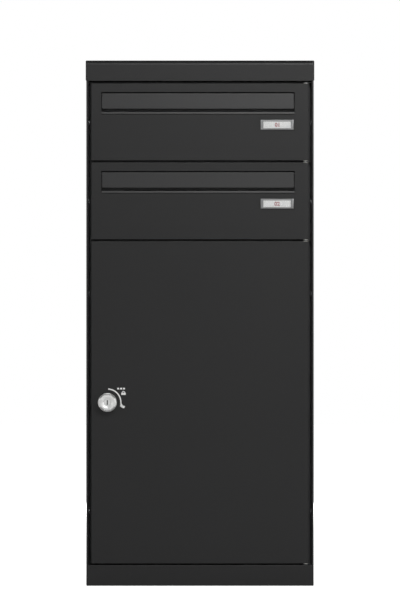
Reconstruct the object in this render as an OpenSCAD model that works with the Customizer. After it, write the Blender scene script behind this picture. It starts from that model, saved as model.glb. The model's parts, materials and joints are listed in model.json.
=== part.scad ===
// Free-standing parcel locker: two letter compartments over one parcel compartment.
// Millimetres. X runs to the right, Y from front to back, Z up. The origin is the middle of the footprint.
// Every door is hung on its right-hand side, and every lock cam is stored in its unlocked position.

/* [Overall] */
// Width across the outer faces of the side panels
casing_w = 386; // [350:1:480]
// Depth from the front faces to the outer face of the back panel
casing_d = 275; // [220:1:400]
// Height of the plinth
plinth_h = 35.5; // [30:0.5:80]
// Height of the parcel compartment
parcel_h = 551; // [400:1:800]
// Height of one letter compartment
mail_h = 134; // [120:1:200]
// Height of the roof cap's front skirt
cap_h = 35; // [28:0.5:60]

/* [Sheet metal] */
// Sheet thickness of the casing and the plinth
casing_t = 1.5; // [1:0.1:2]
// Sheet thickness of the compartment boxes
box_t = 1; // [0.8:0.1:1.5]
// Sheet thickness of the doors
door_t = 1.5; // [1:0.1:2]
// Sheet thickness of the roof cap
cap_t = 1; // [0.8:0.1:1.5]
// Outer bend radius of folded edges
bend_r = 1.5; // [1:0.1:2]
// Width of each post face beside the doors
post_w = 3.5; // [3.4:0.1:8]
// Depth of the post's return behind its face
post_return = 40; // [30:1:60]
// Width of the side panels' rear flanges
rear_flange_w = 20; // [14:1:40]
// Width of the plinth's top flange
plinth_flange_w = 25; // [20:1:40]

/* [Gaps] */
// Gap between a door and the post beside it
side_gap = 5; // [3.5:0.1:7]
// Gap between two doors
door_gap = 3; // [2.6:0.1:5]
// Gap between the plinth and the parcel door
plinth_gap = 2.5; // [2.3:0.1:5]
// Height of the cap's lower edge above the top compartment
cap_gap = 2.5; // [2:0.1:6]
// Gap between the back of a door and the front of its box
box_front_gap = 1.5; // [1.3:0.1:4]
// Gap between a box and the post's return
box_side_gap = 1.5; // [1:0.1:4]
// Gap between the side panels' rear flanges and the boxes
box_back_gap = 3; // [2.6:0.1:8]
// Radial clearance of a turning fit
run_clear = 0.05; // [0.02:0.01:0.1]
// Radial clearance of a screw or a pressed part in its hole
fit_clear = 0.02; // [0.01:0.01:0.2]

/* [Doors] */
// Depth of a door tray
door_d = 18; // [14:0.5:24]
// Width of the lips inside a door's left and right edges
door_lip_w = 9.5; // [6:0.5:14]
// Distance of the pivot line from the door's right edge and from its front face
pivot_inset = 5; // [4.8:0.1:6]
// Radius of the pivot pins
pivot_r = 2; // [1.5:0.1:2.2]
// Wall thickness of the pivot bushes
bush_wall = 1; // [0.8:0.1:1.2]

/* [Letter slot] */
// Width of the letter slot
slot_w = 328; // [300:1:340]
// Height of the letter slot
slot_h = 33.5; // [30:0.1:41]
// Distance of the slot from the door's left edge
slot_left = 17; // [16:0.5:30]
// Distance of the slot from the door's top edge
slot_top = 15; // [12:0.5:30]
// Clear gap round the top and the ends of the flap
flap_gap = 1.5; // [1:0.1:2.5]
// Finger gap under the flap
finger_gap = 4.8; // [4:0.1:8]
// Thickness of the flap's sheet
flap_t = 1.2; // [1:0.1:1.5]
// Forward lean of the flap at rest, in degrees
flap_lean = 5; // [2:0.5:8]
// Radius of the flap's hinge rod
rod_r = 2; // [1.5:0.1:2.5]
// Radius of the rolled lip under the slot
lip_r = 1.6; // [1.2:0.1:2]

/* [Name plates] */
// Width of a name plate frame
plate_w = 56; // [50:0.5:70]
// Height of a name plate frame
plate_h = 17; // [15:0.5:24]
// Depth of a name plate frame in front of the door
plate_d = 3; // [2.4:0.1:5]
// Distance from the slot's lower edge down to the frame's centre
plate_drop = 22; // [18:0.5:40]

/* [Parcel lock] */
// Distance of the lock from the door's left edge
lock_inset = 27.5; // [27:0.5:60]
// Radius of the knob
knob_r = 16; // [14:0.5:20]
// Height of the knob
knob_h = 15; // [12:0.5:20]
// Radius of the lock's barrel
barrel_r = 10; // [9:0.5:12]
// Radius of the key plug
plug_r = 6.2; // [5:0.1:7]
// Grooves in each of the knob's four grips
grip_grooves = 5; // [3:1:6]

/* [Letter locks] */
// Distance of a letter lock from the slot's left end
mail_lock_in = 24; // [22:0.5:40]
// Radius of a letter lock's barrel
mail_barrel_r = 8; // [7:0.5:9]
// Radius of a letter lock's key plug
mail_plug_r = 5.5; // [4.5:0.1:6]

/* [Fixing holes] */
// Radius of the wall and floor fixing holes
anchor_r = 4.5; // [3:0.1:6]
// Distance of the fixing holes from the casing's sides
anchor_side = 53; // [40:1:90]
// Distance of the floor holes from the casing's front and back
anchor_end = 47.5; // [40:0.5:80]
// Height of the lower wall holes above the parcel box's floor
wall_low = 60; // [40:1:120]
// Distance of the upper wall holes below the parcel box's top
wall_high = 51; // [40:1:120]

/* [Hidden] */
$fn = 48;
over = 1;                    // how far a cutting shape runs past the face it cuts

front_y = -casing_d / 2;
back_y = casing_d / 2;
half_w = casing_w / 2;
post_in = half_w - post_w;   // inner face of a post
frame_back = back_y - casing_t;

parcel_z = plinth_h;
mail_low_z = parcel_z + parcel_h;
mail_up_z = mail_low_z + mail_h;
stack_top = mail_up_z + mail_h;
body_h = stack_top + cap_gap + cap_h;
side_top = body_h - cap_t;

box_half = post_in - box_side_gap;
box_front = front_y + door_d + box_front_gap;
box_back = back_y - 2 * casing_t - box_back_gap;
box_flange = 14;             // side flanges at a box's mouth
box_top_flange = 6;
mail_lip = 22;               // lower lip of a letter box, which holds the letters back
parcel_lip = 12;

door_half = post_in - side_gap;
door_back = front_y + door_d;
skin_back = front_y + door_t;
pivot_x = door_half - pivot_inset;
pivot_y = front_y + pivot_inset;
bush_r = pivot_r + run_clear + bush_wall;
bush_flange_r = bush_r + 1.5;
bush_flange_t = 0.5;
bush_reach = 3;              // how far a bush runs past the sheet that it sits in

lug_t = 1.2;                 // thickness of the pivot lugs between the doors
lug_under = 0.6;             // from a lug's top face up to the door that stands on it
lug_over = 0.9;              // from the top door up to the top lug
lug_w = 10;
pin_reach = 7;
pin_step = 0.5;              // the pins stop this far inside the lug's far face

parcel_door_lo = parcel_z + plinth_gap;
parcel_door_hi = mail_low_z - door_gap / 2;
function mail_door_lo(z) = z + door_gap / 2;
function mail_door_hi(z) = z + mail_h - door_gap / 2;
lug_tops = [parcel_door_lo - lug_under, mail_door_lo(mail_low_z) - lug_under,
            mail_door_lo(mail_up_z) - lug_under, mail_door_hi(mail_up_z) + lug_over + lug_t];

slot_x0 = slot_left - door_half;
slot_x1 = slot_x0 + slot_w;
function slot_z1(z) = mail_door_hi(z) - slot_top;
function slot_z0(z) = slot_z1(z) - slot_h;

curl_r = rod_r + run_clear + flap_t;
rod_y = skin_back + rod_r + 0.5;
function rod_z(z) = slot_z1(z) - flap_gap - curl_r;
flap_drop = slot_h - flap_gap - finger_gap - curl_r;   // from the rod's axis down to the flap's edge
flap_len = flap_drop / cos(flap_lean);
hem_d = 6;                   // depth of the flap's lower hem
ear_out = 6;                 // from the slot's end out to a flap bracket's ear
bracket_t = 1.2;
tab_in = 9;                  // how far a bracket's stop reaches behind the flap
tab_y = skin_back + 4.5;     // rear face of a bracket's stop
tab_mid = 16;                // stop's height below the rod
tab_h = 10;
stop_r = 2.5;
stop_gap = 0.3;

liner_t = 1.5;
liner_foot = 10;             // height of the liner's foot under its shelf
lock_face_y = front_y + 10.5;       // front of the plate that carries a letter lock
mail_lock_x = slot_x0 + mail_lock_in;
function mail_lock_z(z) = slot_z1(z) - 19;
mail_head_r = mail_barrel_r + 1;
mail_head_t = 2.5;
mail_nut_t = 4;
cam_gap = 1.7;               // between a box's flange and the cam behind it
cam_y = box_front + box_t + cam_gap;
cam_t = 2;
cam_hook = 8;                // how far a locked cam reaches behind the flange
cam_tip_x = -box_half + box_flange - cam_hook;

lock_x = lock_inset - door_half;
lock_z = (parcel_door_lo + parcel_door_hi) / 2;
rose_t = 1.5;
rose_r = knob_r - 0.5;
knob_gap = 0.4;
knob_back = front_y - rose_t - knob_gap;
knob_front = knob_back - knob_h;
spindle_r = 5;
socket_d = 6;                // depth of the spindle's seat in the knob
plug_recess = 2;
plug_front = knob_front + plug_recess;
plug_back = knob_back - socket_d - 1;
dish_r = 10.6;
dish_d = 3;
smooth_r = knob_r - 0.9;     // the knob's radius between its grips
grip_from = 18;              // each grip's first and last angle from the vertical
grip_to = 64;
barrel_back = cam_y - 0.4;
nut_t = 4;

mark_t = 0.15;               // thickness of the printed marks
mark_r = knob_r + 6.3;       // radius of the arrow's line
mark_w = 2;

rail_h = 2.6;                // name plate's rails above and below the label
end_w = 4.5;                 // name plate's end caps
groove_w = 0.8;
window_t = 0.8;
label_t = 0.3;
stud_r = 1.5;
stud_reach = 3;
plate_x = slot_x1 - 1.7 - plate_w / 2;
function plate_z(z) = slot_z0(z) - plate_drop;

wall_zs = [parcel_z + wall_low, parcel_z + parcel_h - wall_high];
anchor_x = half_w - anchor_side;
anchor_y = casing_d / 2 - anchor_end;
spacer_r = anchor_r + 5;
spacer_bore = anchor_r + 0.5;
screw_r = 2;
screw_head_r = 4;
screw_head_h = 2.2;
box_screw_y = front_y + 32.5;
box_screw_zs = [parcel_z + 90, parcel_z + parcel_h - 90, mail_low_z + mail_h / 2, mail_up_z + mail_h / 2];
plinth_bolt_x = half_w - casing_t - plinth_flange_w / 2;
plinth_bolt_y = casing_d / 2 - 37.5;
bolt_r = 2.5;
rivet_r = 1.6;
rivet_head_r = 3.1;
roof_t = 1.5;
roof_up = 20;                // height of the roof plate's side flanges
cap_side_h = body_h - stack_top - 4;
cap_screw_z = body_h - cap_h / 2;
buffer_r = 3.5;
buffer_t = 1.2;
buffer_x = -box_half + 8;

// ---------- helpers ----------

// A box between two corners.
module block(lo, hi) translate(lo) cube(hi - lo);

// A rectangle between two corners.
module rect(lo, hi) translate(lo) square(hi - lo);

// A round bar along X, Y or Z.
module bar_x(x0, x1, y, z, r) translate([x0, y, z]) rotate([0, 90, 0]) cylinder(h = x1 - x0, r = r);
module bar_y(x, y0, y1, z, r) translate([x, y0, z]) rotate([-90, 0, 0]) cylinder(h = y1 - y0, r = r);
module bar_z(x, y, z0, z1, r) translate([x, y, z0]) cylinder(h = z1 - z0, r = r);

// A hexagonal nut along Y.
module nut_y(x, y0, y1, z, r) translate([x, y0, z]) rotate([-90, 0, 0]) cylinder(h = y1 - y0, r = r, $fn = 6);

// Cuts the corner at the origin to a radius; the material lies towards +X and +Y.
module corner_cut(r) difference() {
  translate([-over, -over]) square(r + over);
  translate([r, r]) circle(r);
}

// A rectangle with all four corners rounded.
module round_rect(lo, hi, r) difference() {
  rect(lo, hi);
  translate(lo) corner_cut(r);
  translate(hi) rotate(180) corner_cut(r);
  translate([hi.x, lo.y]) rotate(90) corner_cut(r);
  translate([lo.x, hi.y]) rotate(-90) corner_cut(r);
}

// A slim cut, for a key slot, along Y.
module key_slot(x, z, y0, y1) block([x - 0.8, y0, z - 4], [x + 0.8, y1, z + 4]);

// ---------- casing ----------

module side_profile() difference() {
  union() {
    rect([-half_w, front_y], [-half_w + casing_t, frame_back]);
    rect([-half_w, front_y], [-post_in, front_y + casing_t]);
    rect([-post_in - casing_t, front_y], [-post_in, front_y + post_return]);
    rect([-half_w, frame_back - casing_t], [-half_w + rear_flange_w, frame_back]);
  }
  translate([-half_w, front_y]) corner_cut(bend_r);
  translate([-post_in, front_y]) rotate(90) corner_cut(bend_r);
  translate([-half_w, frame_back]) rotate(-90) corner_cut(bend_r);
}

function rivet_zs() = [for (i = [0:5]) parcel_z + 30 + i * (side_top - parcel_z - 60) / 5];

// The left side panel, with its post at the front and its flange at the back.
module side_left() color("#3a3a3b") difference() {
  translate([0, 0, plinth_h]) linear_extrude(side_top - plinth_h) side_profile();
  for (z = rivet_zs())
    bar_y(rear_flange_w / 2 - half_w, frame_back - casing_t - over, back_y, z, rivet_r + fit_clear);
  for (z = box_screw_zs)
    bar_x(-post_in - casing_t - 0.2, -post_in + over, box_screw_y, z, screw_r + fit_clear);
}

module side_right() mirror([1, 0, 0]) side_left();

module wall_pattern(y0, y1, r) for (x = [-1, 1], z = wall_zs) bar_y(x * anchor_x, y0, y1, z, r);

module rivet_holes(y0, y1, r)
  for (x = [-1, 1], z = rivet_zs()) bar_y(x * (half_w - rear_flange_w / 2), y0, y1, z, r);

// A countersunk head, flush with the back panel's outer face.
module sunk_head(x, z, r, head_r)
  translate([x, frame_back, z]) rotate([-90, 0, 0]) cylinder(h = casing_t, r1 = r, r2 = head_r);

module back_panel() color("#363637") difference() {
  block([-half_w, frame_back, plinth_h], [half_w, back_y, side_top]);
  wall_pattern(frame_back - over, back_y + over, anchor_r);
  for (x = [-1, 1], z = rivet_zs())
    sunk_head(x * (half_w - rear_flange_w / 2), z, rivet_r + fit_clear, rivet_head_r + fit_clear);
  for (x = [-1, 0, 1]) sunk_head(x * 120, cap_screw_z, screw_r + fit_clear, screw_head_r + fit_clear);
}

module plinth() color("#383839") difference() {
  linear_extrude(plinth_h) round_rect([-half_w, front_y], [half_w, back_y], bend_r);
  block([-half_w + casing_t, front_y + casing_t, casing_t], [half_w - casing_t, back_y - casing_t, plinth_h - casing_t]);
  block([-half_w + plinth_flange_w, front_y + plinth_flange_w, plinth_h - casing_t - over],
        [half_w - plinth_flange_w, back_y - plinth_flange_w, plinth_h + over]);
  for (x = [-1, 1], y = [-1, 1]) {
    bar_z(x * anchor_x, y * anchor_y, -over, casing_t + over, anchor_r);
    bar_z(x * plinth_bolt_x, y * plinth_bolt_y, plinth_h - casing_t - over, plinth_h + over, bolt_r + fit_clear);
  }
}

// The plate under the cap: it closes the stack and ties the two side panels together.
module roof_plate() color("#6d7072") difference() {
  union() {
    block([-box_half, box_front, stack_top], [box_half, back_y - 2 * casing_t, stack_top + roof_t]);
    block([-half_w + casing_t, front_y + post_return + 2, stack_top],
          [half_w - casing_t, back_y - 2 * casing_t, stack_top + roof_t]);
    for (side = [0, 1]) mirror([side, 0, 0])
      block([-half_w + casing_t, front_y + post_return + 2, stack_top],
            [-half_w + casing_t + roof_t, back_y - 2 * casing_t, stack_top + roof_up]);
  }
}

// The folded roof: a top sheet, a front skirt, two side skirts and an inner rear flange.
module roof_cap() color("#3c3c3d") difference() {
  union() {
    translate([0, 0, body_h - cap_side_h]) linear_extrude(cap_side_h) difference() {
      rect([-half_w - cap_t, front_y - cap_t], [half_w + cap_t, back_y]);
      rect([-half_w, front_y], [half_w, back_y + over]);
      translate([-half_w - cap_t, front_y - cap_t]) corner_cut(bend_r);
      translate([half_w + cap_t, front_y - cap_t]) rotate(90) corner_cut(bend_r);
    }
    block([-post_in, front_y - cap_t, body_h - cap_h], [post_in, front_y, body_h - cap_side_h]);
    translate([0, 0, side_top]) linear_extrude(cap_t) difference() {
      rect([-half_w - cap_t, front_y - cap_t], [half_w + cap_t, back_y]);
      translate([-half_w - cap_t, front_y - cap_t]) corner_cut(bend_r);
      translate([half_w + cap_t, front_y - cap_t]) rotate(90) corner_cut(bend_r);
    }
    block([rear_flange_w + 2 - half_w, frame_back - cap_t, body_h - cap_h + 6],
          [half_w - rear_flange_w - 2, frame_back, side_top]);
    // drip hem, folded in behind the front skirt
    block([-post_in + 1, front_y - cap_t, body_h - cap_h], [post_in - 1, front_y + 9, body_h - cap_h + cap_t]);
  }
  for (x = [-1, 0, 1])
    bar_y(x * 120, frame_back - cap_t - over, frame_back + over, cap_screw_z, screw_r + fit_clear);
}

// ---------- compartments ----------

// A sheet-metal box with an open, flanged mouth.
module open_box(z0, h, lip) difference() {
  block([-box_half, box_front, z0], [box_half, box_back, z0 + h]);
  block([-box_half + box_t, box_front + box_t, z0 + box_t], [box_half - box_t, box_back - box_t, z0 + h - box_t]);
  block([-box_half + box_flange, box_front - over, z0 + lip],
        [box_half - box_flange, box_front + box_t + over, z0 + h - box_top_flange]);
}

module box_screw_holes(zs) for (side = [0, 1], z = zs) mirror([side, 0, 0])
  bar_x(-box_half - over, -box_half + box_t + over, box_screw_y, z, screw_r + fit_clear);

// The parcel box is spot-welded from flat sheets: two sides, a floor and a top, then a rear
// sheet and the frame of its mouth.
module parcel_box_sides() color("#4a4b4d") difference() {
  for (side = [0, 1]) mirror([side, 0, 0])
    block([-box_half, box_front + box_t, parcel_z], [-box_half + box_t, box_back, parcel_z + parcel_h]);
  box_screw_holes([box_screw_zs[0], box_screw_zs[1]]);
}

module parcel_box_ends() color("#4a4b4d") difference() {
  for (z = [parcel_z, parcel_z + parcel_h - box_t])
    block([-box_half + box_t, box_front + box_t, z], [box_half - box_t, box_back - box_t, z + box_t]);
  for (x = [-1, 1], y = [-1, 1]) {
    bar_z(x * anchor_x, y * anchor_y, parcel_z - over, parcel_z + box_t + over, anchor_r);
    bar_z(x * plinth_bolt_x, y * plinth_bolt_y, parcel_z - over, parcel_z + box_t + over, bolt_r + fit_clear);
  }
}

module parcel_box_faces() color("#4a4b4d") difference() {
  block([-box_half, box_front, parcel_z], [box_half, box_front + box_t, parcel_z + parcel_h]);
  block([-box_half + box_flange, box_front - over, parcel_z + parcel_lip],
        [box_half - box_flange, box_front + box_t + over, parcel_z + parcel_h - box_top_flange]);
}

module parcel_box_rear() color("#4a4b4d") difference() {
  block([-box_half + box_t, box_back - box_t, parcel_z], [box_half - box_t, box_back, parcel_z + parcel_h]);
  wall_pattern(box_back - box_t - over, box_back + over, anchor_r);
}

module mail_box(z0) color("#4a4b4d") difference() {
  open_box(z0, mail_h, mail_lip);
  box_screw_holes([z0 + mail_h / 2]);
}

// ---------- pivots and fasteners ----------

// One lug, welded to the front of the boxes; the doors above and below turn on its pin.
module lug(top) difference() {
  translate([0, 0, top - lug_t]) linear_extrude(lug_t) union() {
    rect([pivot_x - lug_w / 2, pivot_y], [box_half, box_front]);
    translate([pivot_x, pivot_y]) circle(min(lug_w / 2, pivot_inset - 0.2));
  }
  bar_z(pivot_x, pivot_y, top - lug_t - over, top + over, pivot_r + fit_clear);
}

module pivot_lugs() color("#8c8f92") for (top = lug_tops) lug(top);

module pivot_pins() color("#b9bcbf") {
  bar_z(pivot_x, pivot_y, lug_tops[0] - lug_t + pin_step, lug_tops[0] + pin_reach, pivot_r);
  for (i = [1, 2]) bar_z(pivot_x, pivot_y, lug_tops[i] - lug_t - pin_reach, lug_tops[i] + pin_reach, pivot_r);
  bar_z(pivot_x, pivot_y, lug_tops[3] - lug_t - pin_reach, lug_tops[3] - pin_step, pivot_r);
}

module box_screws() color("#b9bcbf") for (side = [0, 1], z = box_screw_zs) mirror([side, 0, 0]) {
  bar_x(-post_in - casing_t - 0.2, -box_half + box_t + 1, box_screw_y, z, screw_r);
  bar_x(-box_half + box_t, -box_half + box_t + screw_head_h, box_screw_y, z, screw_head_r);
}

// Washers beside the boxes, and sleeves round the wall holes behind the parcel box.
module box_spacers() color("#8c8f92") {
  for (side = [0, 1], z = box_screw_zs) mirror([side, 0, 0]) difference() {
    bar_x(-post_in, -box_half, box_screw_y, z, screw_head_r + 1);
    bar_x(-post_in - over, -box_half + over, box_screw_y, z, screw_r + 0.2);
  }
  difference() {
    wall_pattern(box_back, frame_back, spacer_r);
    wall_pattern(box_back - over, frame_back + over, spacer_bore);
  }
}

module plinth_bolts() color("#b9bcbf") for (x = [-1, 1], y = [-1, 1]) {
  bar_z(x * plinth_bolt_x, y * plinth_bolt_y, plinth_h - casing_t - 7, plinth_h + box_t + 1, bolt_r);
  bar_z(x * plinth_bolt_x, y * plinth_bolt_y, plinth_h + box_t, plinth_h + box_t + 2.5, bolt_r + 2.3);
  translate([x * plinth_bolt_x, y * plinth_bolt_y, plinth_h - casing_t - 4])
    cylinder(h = 4, r = bolt_r + 2.1, $fn = 6);
}

// Flush rivets that hold the back panel to the side panels' flanges.
module casing_rivets() color("#4a4b4d") for (x = [-1, 1], z = rivet_zs()) {
  sunk_head(x * (half_w - rear_flange_w / 2), z, rivet_r, rivet_head_r);
  bar_y(x * (half_w - rear_flange_w / 2), frame_back - casing_t, frame_back + 0.1, z, rivet_r);
  bar_y(x * (half_w - rear_flange_w / 2), frame_back - casing_t - 2, frame_back - casing_t, z, rivet_r + 0.9);
}

module cap_screws() color("#b9bcbf") for (x = [-1, 0, 1]) {
  sunk_head(x * 120, cap_screw_z, screw_r, screw_head_r);
  bar_y(x * 120, frame_back - cap_t - 5, frame_back + 0.1, cap_screw_z, screw_r);
  nut_y(x * 120, frame_back - cap_t - 3.2, frame_back - cap_t, cap_screw_z, screw_head_r);
}

// Rubber buffers on the boxes' left flanges, which the closed doors rest against.
module box_buffers() color("#1d1d1e")
  for (z = [parcel_z + 40, parcel_z + parcel_h - 40, mail_low_z + 40, mail_low_z + mail_h - 20,
            mail_up_z + 40, mail_up_z + mail_h - 20])
    bar_y(buffer_x, box_front - buffer_t, box_front, z, buffer_r);

// ---------- doors ----------

// A folded tray, open at the back, with lips inside its left and right edges.
module door_tray(lo, hi) difference() {
  translate([0, 0, lo]) linear_extrude(hi - lo) difference() {
    rect([-door_half, front_y], [door_half, door_back]);
    translate([-door_half, front_y]) corner_cut(bend_r);
    translate([door_half, front_y]) rotate(90) corner_cut(bend_r);
  }
  block([-door_half + door_t, skin_back, lo + door_t], [door_half - door_t, door_back - door_t, hi - door_t]);
  block([-door_half + door_lip_w, skin_back, lo + door_t], [door_half - door_lip_w, door_back + over, hi - door_t]);
  bar_z(pivot_x, pivot_y, lo - over, lo + door_t + over, bush_r + fit_clear);
  bar_z(pivot_x, pivot_y, hi - door_t - over, hi + over, bush_r + fit_clear);
}

// The two flanged bushes on which a door turns.
module door_bushes(lo, hi) color("#d8d8d2") difference() {
  union() {
    bar_z(pivot_x, pivot_y, lo - bush_flange_t, lo, bush_flange_r);
    bar_z(pivot_x, pivot_y, lo - bush_flange_t, lo + door_t + bush_reach, bush_r);
    bar_z(pivot_x, pivot_y, hi, hi + bush_flange_t, bush_flange_r);
    bar_z(pivot_x, pivot_y, hi - door_t - bush_reach, hi + bush_flange_t, bush_r);
  }
  bar_z(pivot_x, pivot_y, lo - bush_flange_t - over, hi + bush_flange_t + over, pivot_r + run_clear);
}

module parcel_door() color("#333334") difference() {
  door_tray(parcel_door_lo, parcel_door_hi);
  bar_y(lock_x, front_y - over, skin_back + over, lock_z, barrel_r + fit_clear);
}

module parcel_door_bushes() door_bushes(parcel_door_lo, parcel_door_hi);

// A hat section that stiffens the parcel door from behind.
module door_stiffener() color("#4a4b4d") translate([0, 0, parcel_door_lo + 25])
  linear_extrude(parcel_door_hi - parcel_door_lo - 50) {
    rect([-30, skin_back], [-14, skin_back + 1]);
    rect([-15, skin_back], [-14, skin_back + 12]);
    rect([-15, skin_back + 11], [15, skin_back + 12]);
    rect([14, skin_back], [15, skin_back + 12]);
    rect([14, skin_back], [30, skin_back + 1]);
  }

// ---------- parcel lock ----------

module lock_rose() color("#c6c9cb") difference() {
  bar_y(lock_x, front_y - rose_t, front_y, lock_z, rose_r);
  bar_y(lock_x, front_y - rose_t - over, front_y + over, lock_z, barrel_r + fit_clear);
}

module lock_barrel() color("#9ea2a5") difference() {
  bar_y(lock_x, front_y - rose_t, barrel_back, lock_z, barrel_r);
  bar_y(lock_x, front_y - rose_t - over, barrel_back + over, lock_z, spindle_r + run_clear);
}

module lock_nut() color("#9ea2a5") difference() {
  nut_y(lock_x, skin_back, skin_back + nut_t, lock_z, barrel_r + 4.5);
  bar_y(lock_x, skin_back - over, skin_back + nut_t + over, lock_z, barrel_r + fit_clear);
}

// A wedge round Y, between two angles from the vertical, that reaches past the knob's rim.
module knob_wedge(from, to) translate([lock_x, knob_back + over, lock_z]) rotate([90, 0, 0])
  linear_extrude(knob_h + 2 * over) polygon(concat([[0, 0]],
    [for (i = [0:4]) let (a = from + i * (to - from) / 4) 1.3 * knob_r * [sin(a), cos(a)]]));

// The knob, with four grooved grips round its rim, a dished face and the seats for the plug and the spindle.
module lock_knob() color("#c9ccce") difference() {
  translate([lock_x, knob_back, lock_z]) rotate([90, 0, 0]) rotate_extrude($fn = 96) polygon([
    [spindle_r + fit_clear, 0], [knob_r - 0.6, 0], [knob_r, 0.6], [knob_r, knob_h - 2], [knob_r - 1.6, knob_h],
    [dish_r, knob_h], [plug_r + 1.3, knob_h - dish_d], [plug_r + run_clear, knob_h - dish_d],
    [plug_r + run_clear, knob_back - plug_back - 0.05], [spindle_r - 2, knob_back - plug_back - 0.05],
    [spindle_r - 2, socket_d], [spindle_r + fit_clear, socket_d]]);
  for (quarter = [0:3]) {
    mid = quarter * 90;
    difference() {
      knob_wedge(mid - (quarter % 2 == 0 ? grip_from : 90 - grip_to),
                 mid + (quarter % 2 == 0 ? grip_from : 90 - grip_to));
      bar_y(lock_x, knob_front - 2 * over, knob_back + 2 * over, lock_z, smooth_r);
    }
  }
  for (side = [-1, 1], base = [0, 180], i = [1:grip_grooves])
    translate([lock_x, 0, lock_z])
      rotate([0, base + side * (grip_from + i * (grip_to - grip_from) / (grip_grooves + 1)), 0])
        bar_y(0, knob_front - over, knob_back - 3, knob_r + 0.3, 0.9);
}

module lock_spindle() color("#9ea2a5") bar_y(lock_x, knob_back - socket_d, cam_y + cam_t + 5, lock_z, spindle_r);

// A cam that hangs down when unlocked; reach is the distance from its axis to its tip.
module cam(x, z, reach, tip_r, hub_r, bore_r) difference() {
  union() {
    bar_y(x, cam_y, cam_y + cam_t, z, hub_r);
    block([x - tip_r, cam_y, z - reach + tip_r], [x + tip_r, cam_y + cam_t, z]);
    bar_y(x, cam_y, cam_y + cam_t, z - reach + tip_r, tip_r);
  }
  bar_y(x, cam_y - over, cam_y + cam_t + over, z, bore_r);
}

module lock_cam() color("#8c8f92") cam(lock_x, lock_z, lock_x - cam_tip_x, 8, 10, spindle_r + fit_clear);

module lock_cam_nut() color("#b9bcbf") difference() {
  nut_y(lock_x, cam_y + cam_t, cam_y + cam_t + 4, lock_z, spindle_r + 4);
  bar_y(lock_x, cam_y, cam_y + cam_t + 5, lock_z, spindle_r + fit_clear);
}

module lock_plug() color("#d2d5d7") difference() {
  bar_y(lock_x, plug_front, plug_back, lock_z, plug_r);
  key_slot(lock_x, lock_z, plug_front - over, plug_back - 1.5);
}

// The printed arrow that shows which way to turn the knob, and a padlock sign beside it.
module lock_mark() color("#e6e6e6") translate([lock_x, front_y, lock_z]) rotate([90, 0, 0]) linear_extrude(mark_t) {
  difference() {
    circle(mark_r + mark_w / 2, $fn = 96);
    circle(mark_r - mark_w / 2, $fn = 96);
    rect([-2 * mark_r, -2 * mark_r], [1, 2 * mark_r]);
    rect([0, -2 * mark_r], [2 * mark_r, 0.5]);
  }
  translate([mark_r, 0]) polygon([[-0.9, 0.8], [1.1, 0.8], [1.6, -2.4], [2.9, -4.8], [7.4, -6.4],
                                  [5.2, -10.4], [-1.3, -6.7], [-0.7, -3.4]]);
  translate([mark_r + 4.2, knob_r + 3]) difference() {
    union() {
      rect([-5, -6], [5, 1.5]);
      difference() {
        translate([0, 2]) circle(3.8);
        translate([0, 2]) circle(2.4);
      }
    }
    translate([0, -2]) circle(1.3);
  }
}

// ---------- letter doors ----------

module mail_door(z) color("#3a3a3b") {
  difference() {
    union() {
      door_tray(mail_door_lo(z), mail_door_hi(z));
      // rolled lip under the slot
      bar_x(slot_x0 + 0.5, slot_x1 - 0.5, front_y - 0.2, slot_z0(z) - lip_r, lip_r);
    }
    block([slot_x0, front_y - over, slot_z0(z)], [slot_x1, skin_back + over, slot_z1(z)]);
    block([slot_x0 - over, skin_back, slot_z0(z) - 3 * lip_r], [slot_x1 + over, skin_back + lip_r, slot_z0(z)]);
    for (x = [-1, 1])
      bar_y(plate_x + x * plate_w / 3, front_y - over, skin_back + over, plate_z(z), stud_r + fit_clear);
  }
}

module flap_rod(z) color("#b9bcbf") bar_x(slot_x0 - ear_out - 3, slot_x1 + ear_out + 3, rod_y, rod_z(z), rod_r);

// The flap's section, seen along X: a curl round the rod, the plate and the hem at its lower edge.
module flap_section() difference() {
  union() {
    circle(curl_r);
    rect([-curl_r, -flap_len], [-curl_r + flap_t, 0]);
    rect([-curl_r, -flap_len], [-curl_r + hem_d, -flap_len + flap_t]);
  }
  circle(rod_r + run_clear);
  translate([-curl_r, -flap_len]) corner_cut(flap_t);
}

module letter_flap(z) color("#454546") translate([slot_x0 + flap_gap, rod_y, rod_z(z)])
  rotate([-flap_lean, 0, 0]) rotate([90, 0, 90]) linear_extrude(slot_w - 2 * flap_gap) flap_section();

// One bracket of the flap: a foot on the door, an ear for the rod and a stop behind the flap.
module flap_bracket(z) difference() {
  union() {
    block([slot_x0 - ear_out - bracket_t, skin_back, rod_z(z) - tab_mid - tab_h / 2],
          [slot_x0 - flap_gap, skin_back + bracket_t, rod_z(z) - 4]);
    block([slot_x0 - ear_out - bracket_t, skin_back, rod_z(z) - tab_mid - tab_h / 2],
          [slot_x0 - ear_out, rod_y + 4, rod_z(z) + 4]);
    block([slot_x0 - flap_gap - bracket_t, skin_back, rod_z(z) - tab_mid - tab_h / 2],
          [slot_x0 - flap_gap, tab_y, rod_z(z) - tab_mid + tab_h / 2]);
    block([slot_x0 - flap_gap - bracket_t, tab_y - bracket_t, rod_z(z) - tab_mid - tab_h / 2],
          [slot_x0 + tab_in, tab_y, rod_z(z) - tab_mid + tab_h / 2]);
  }
  bar_x(slot_x0 - ear_out - bracket_t - over, slot_x0 - ear_out + over, rod_y, rod_z(z), rod_r + fit_clear);
}

slot_mid = (slot_x0 + slot_x1) / 2;
module at_both_ends() for (side = [0, 1]) translate([slot_mid, 0, 0]) mirror([side, 0, 0])
  translate([-slot_mid, 0, 0]) children();

module flap_brackets(z) color("#8c8f92") at_both_ends() flap_bracket(z);

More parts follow.
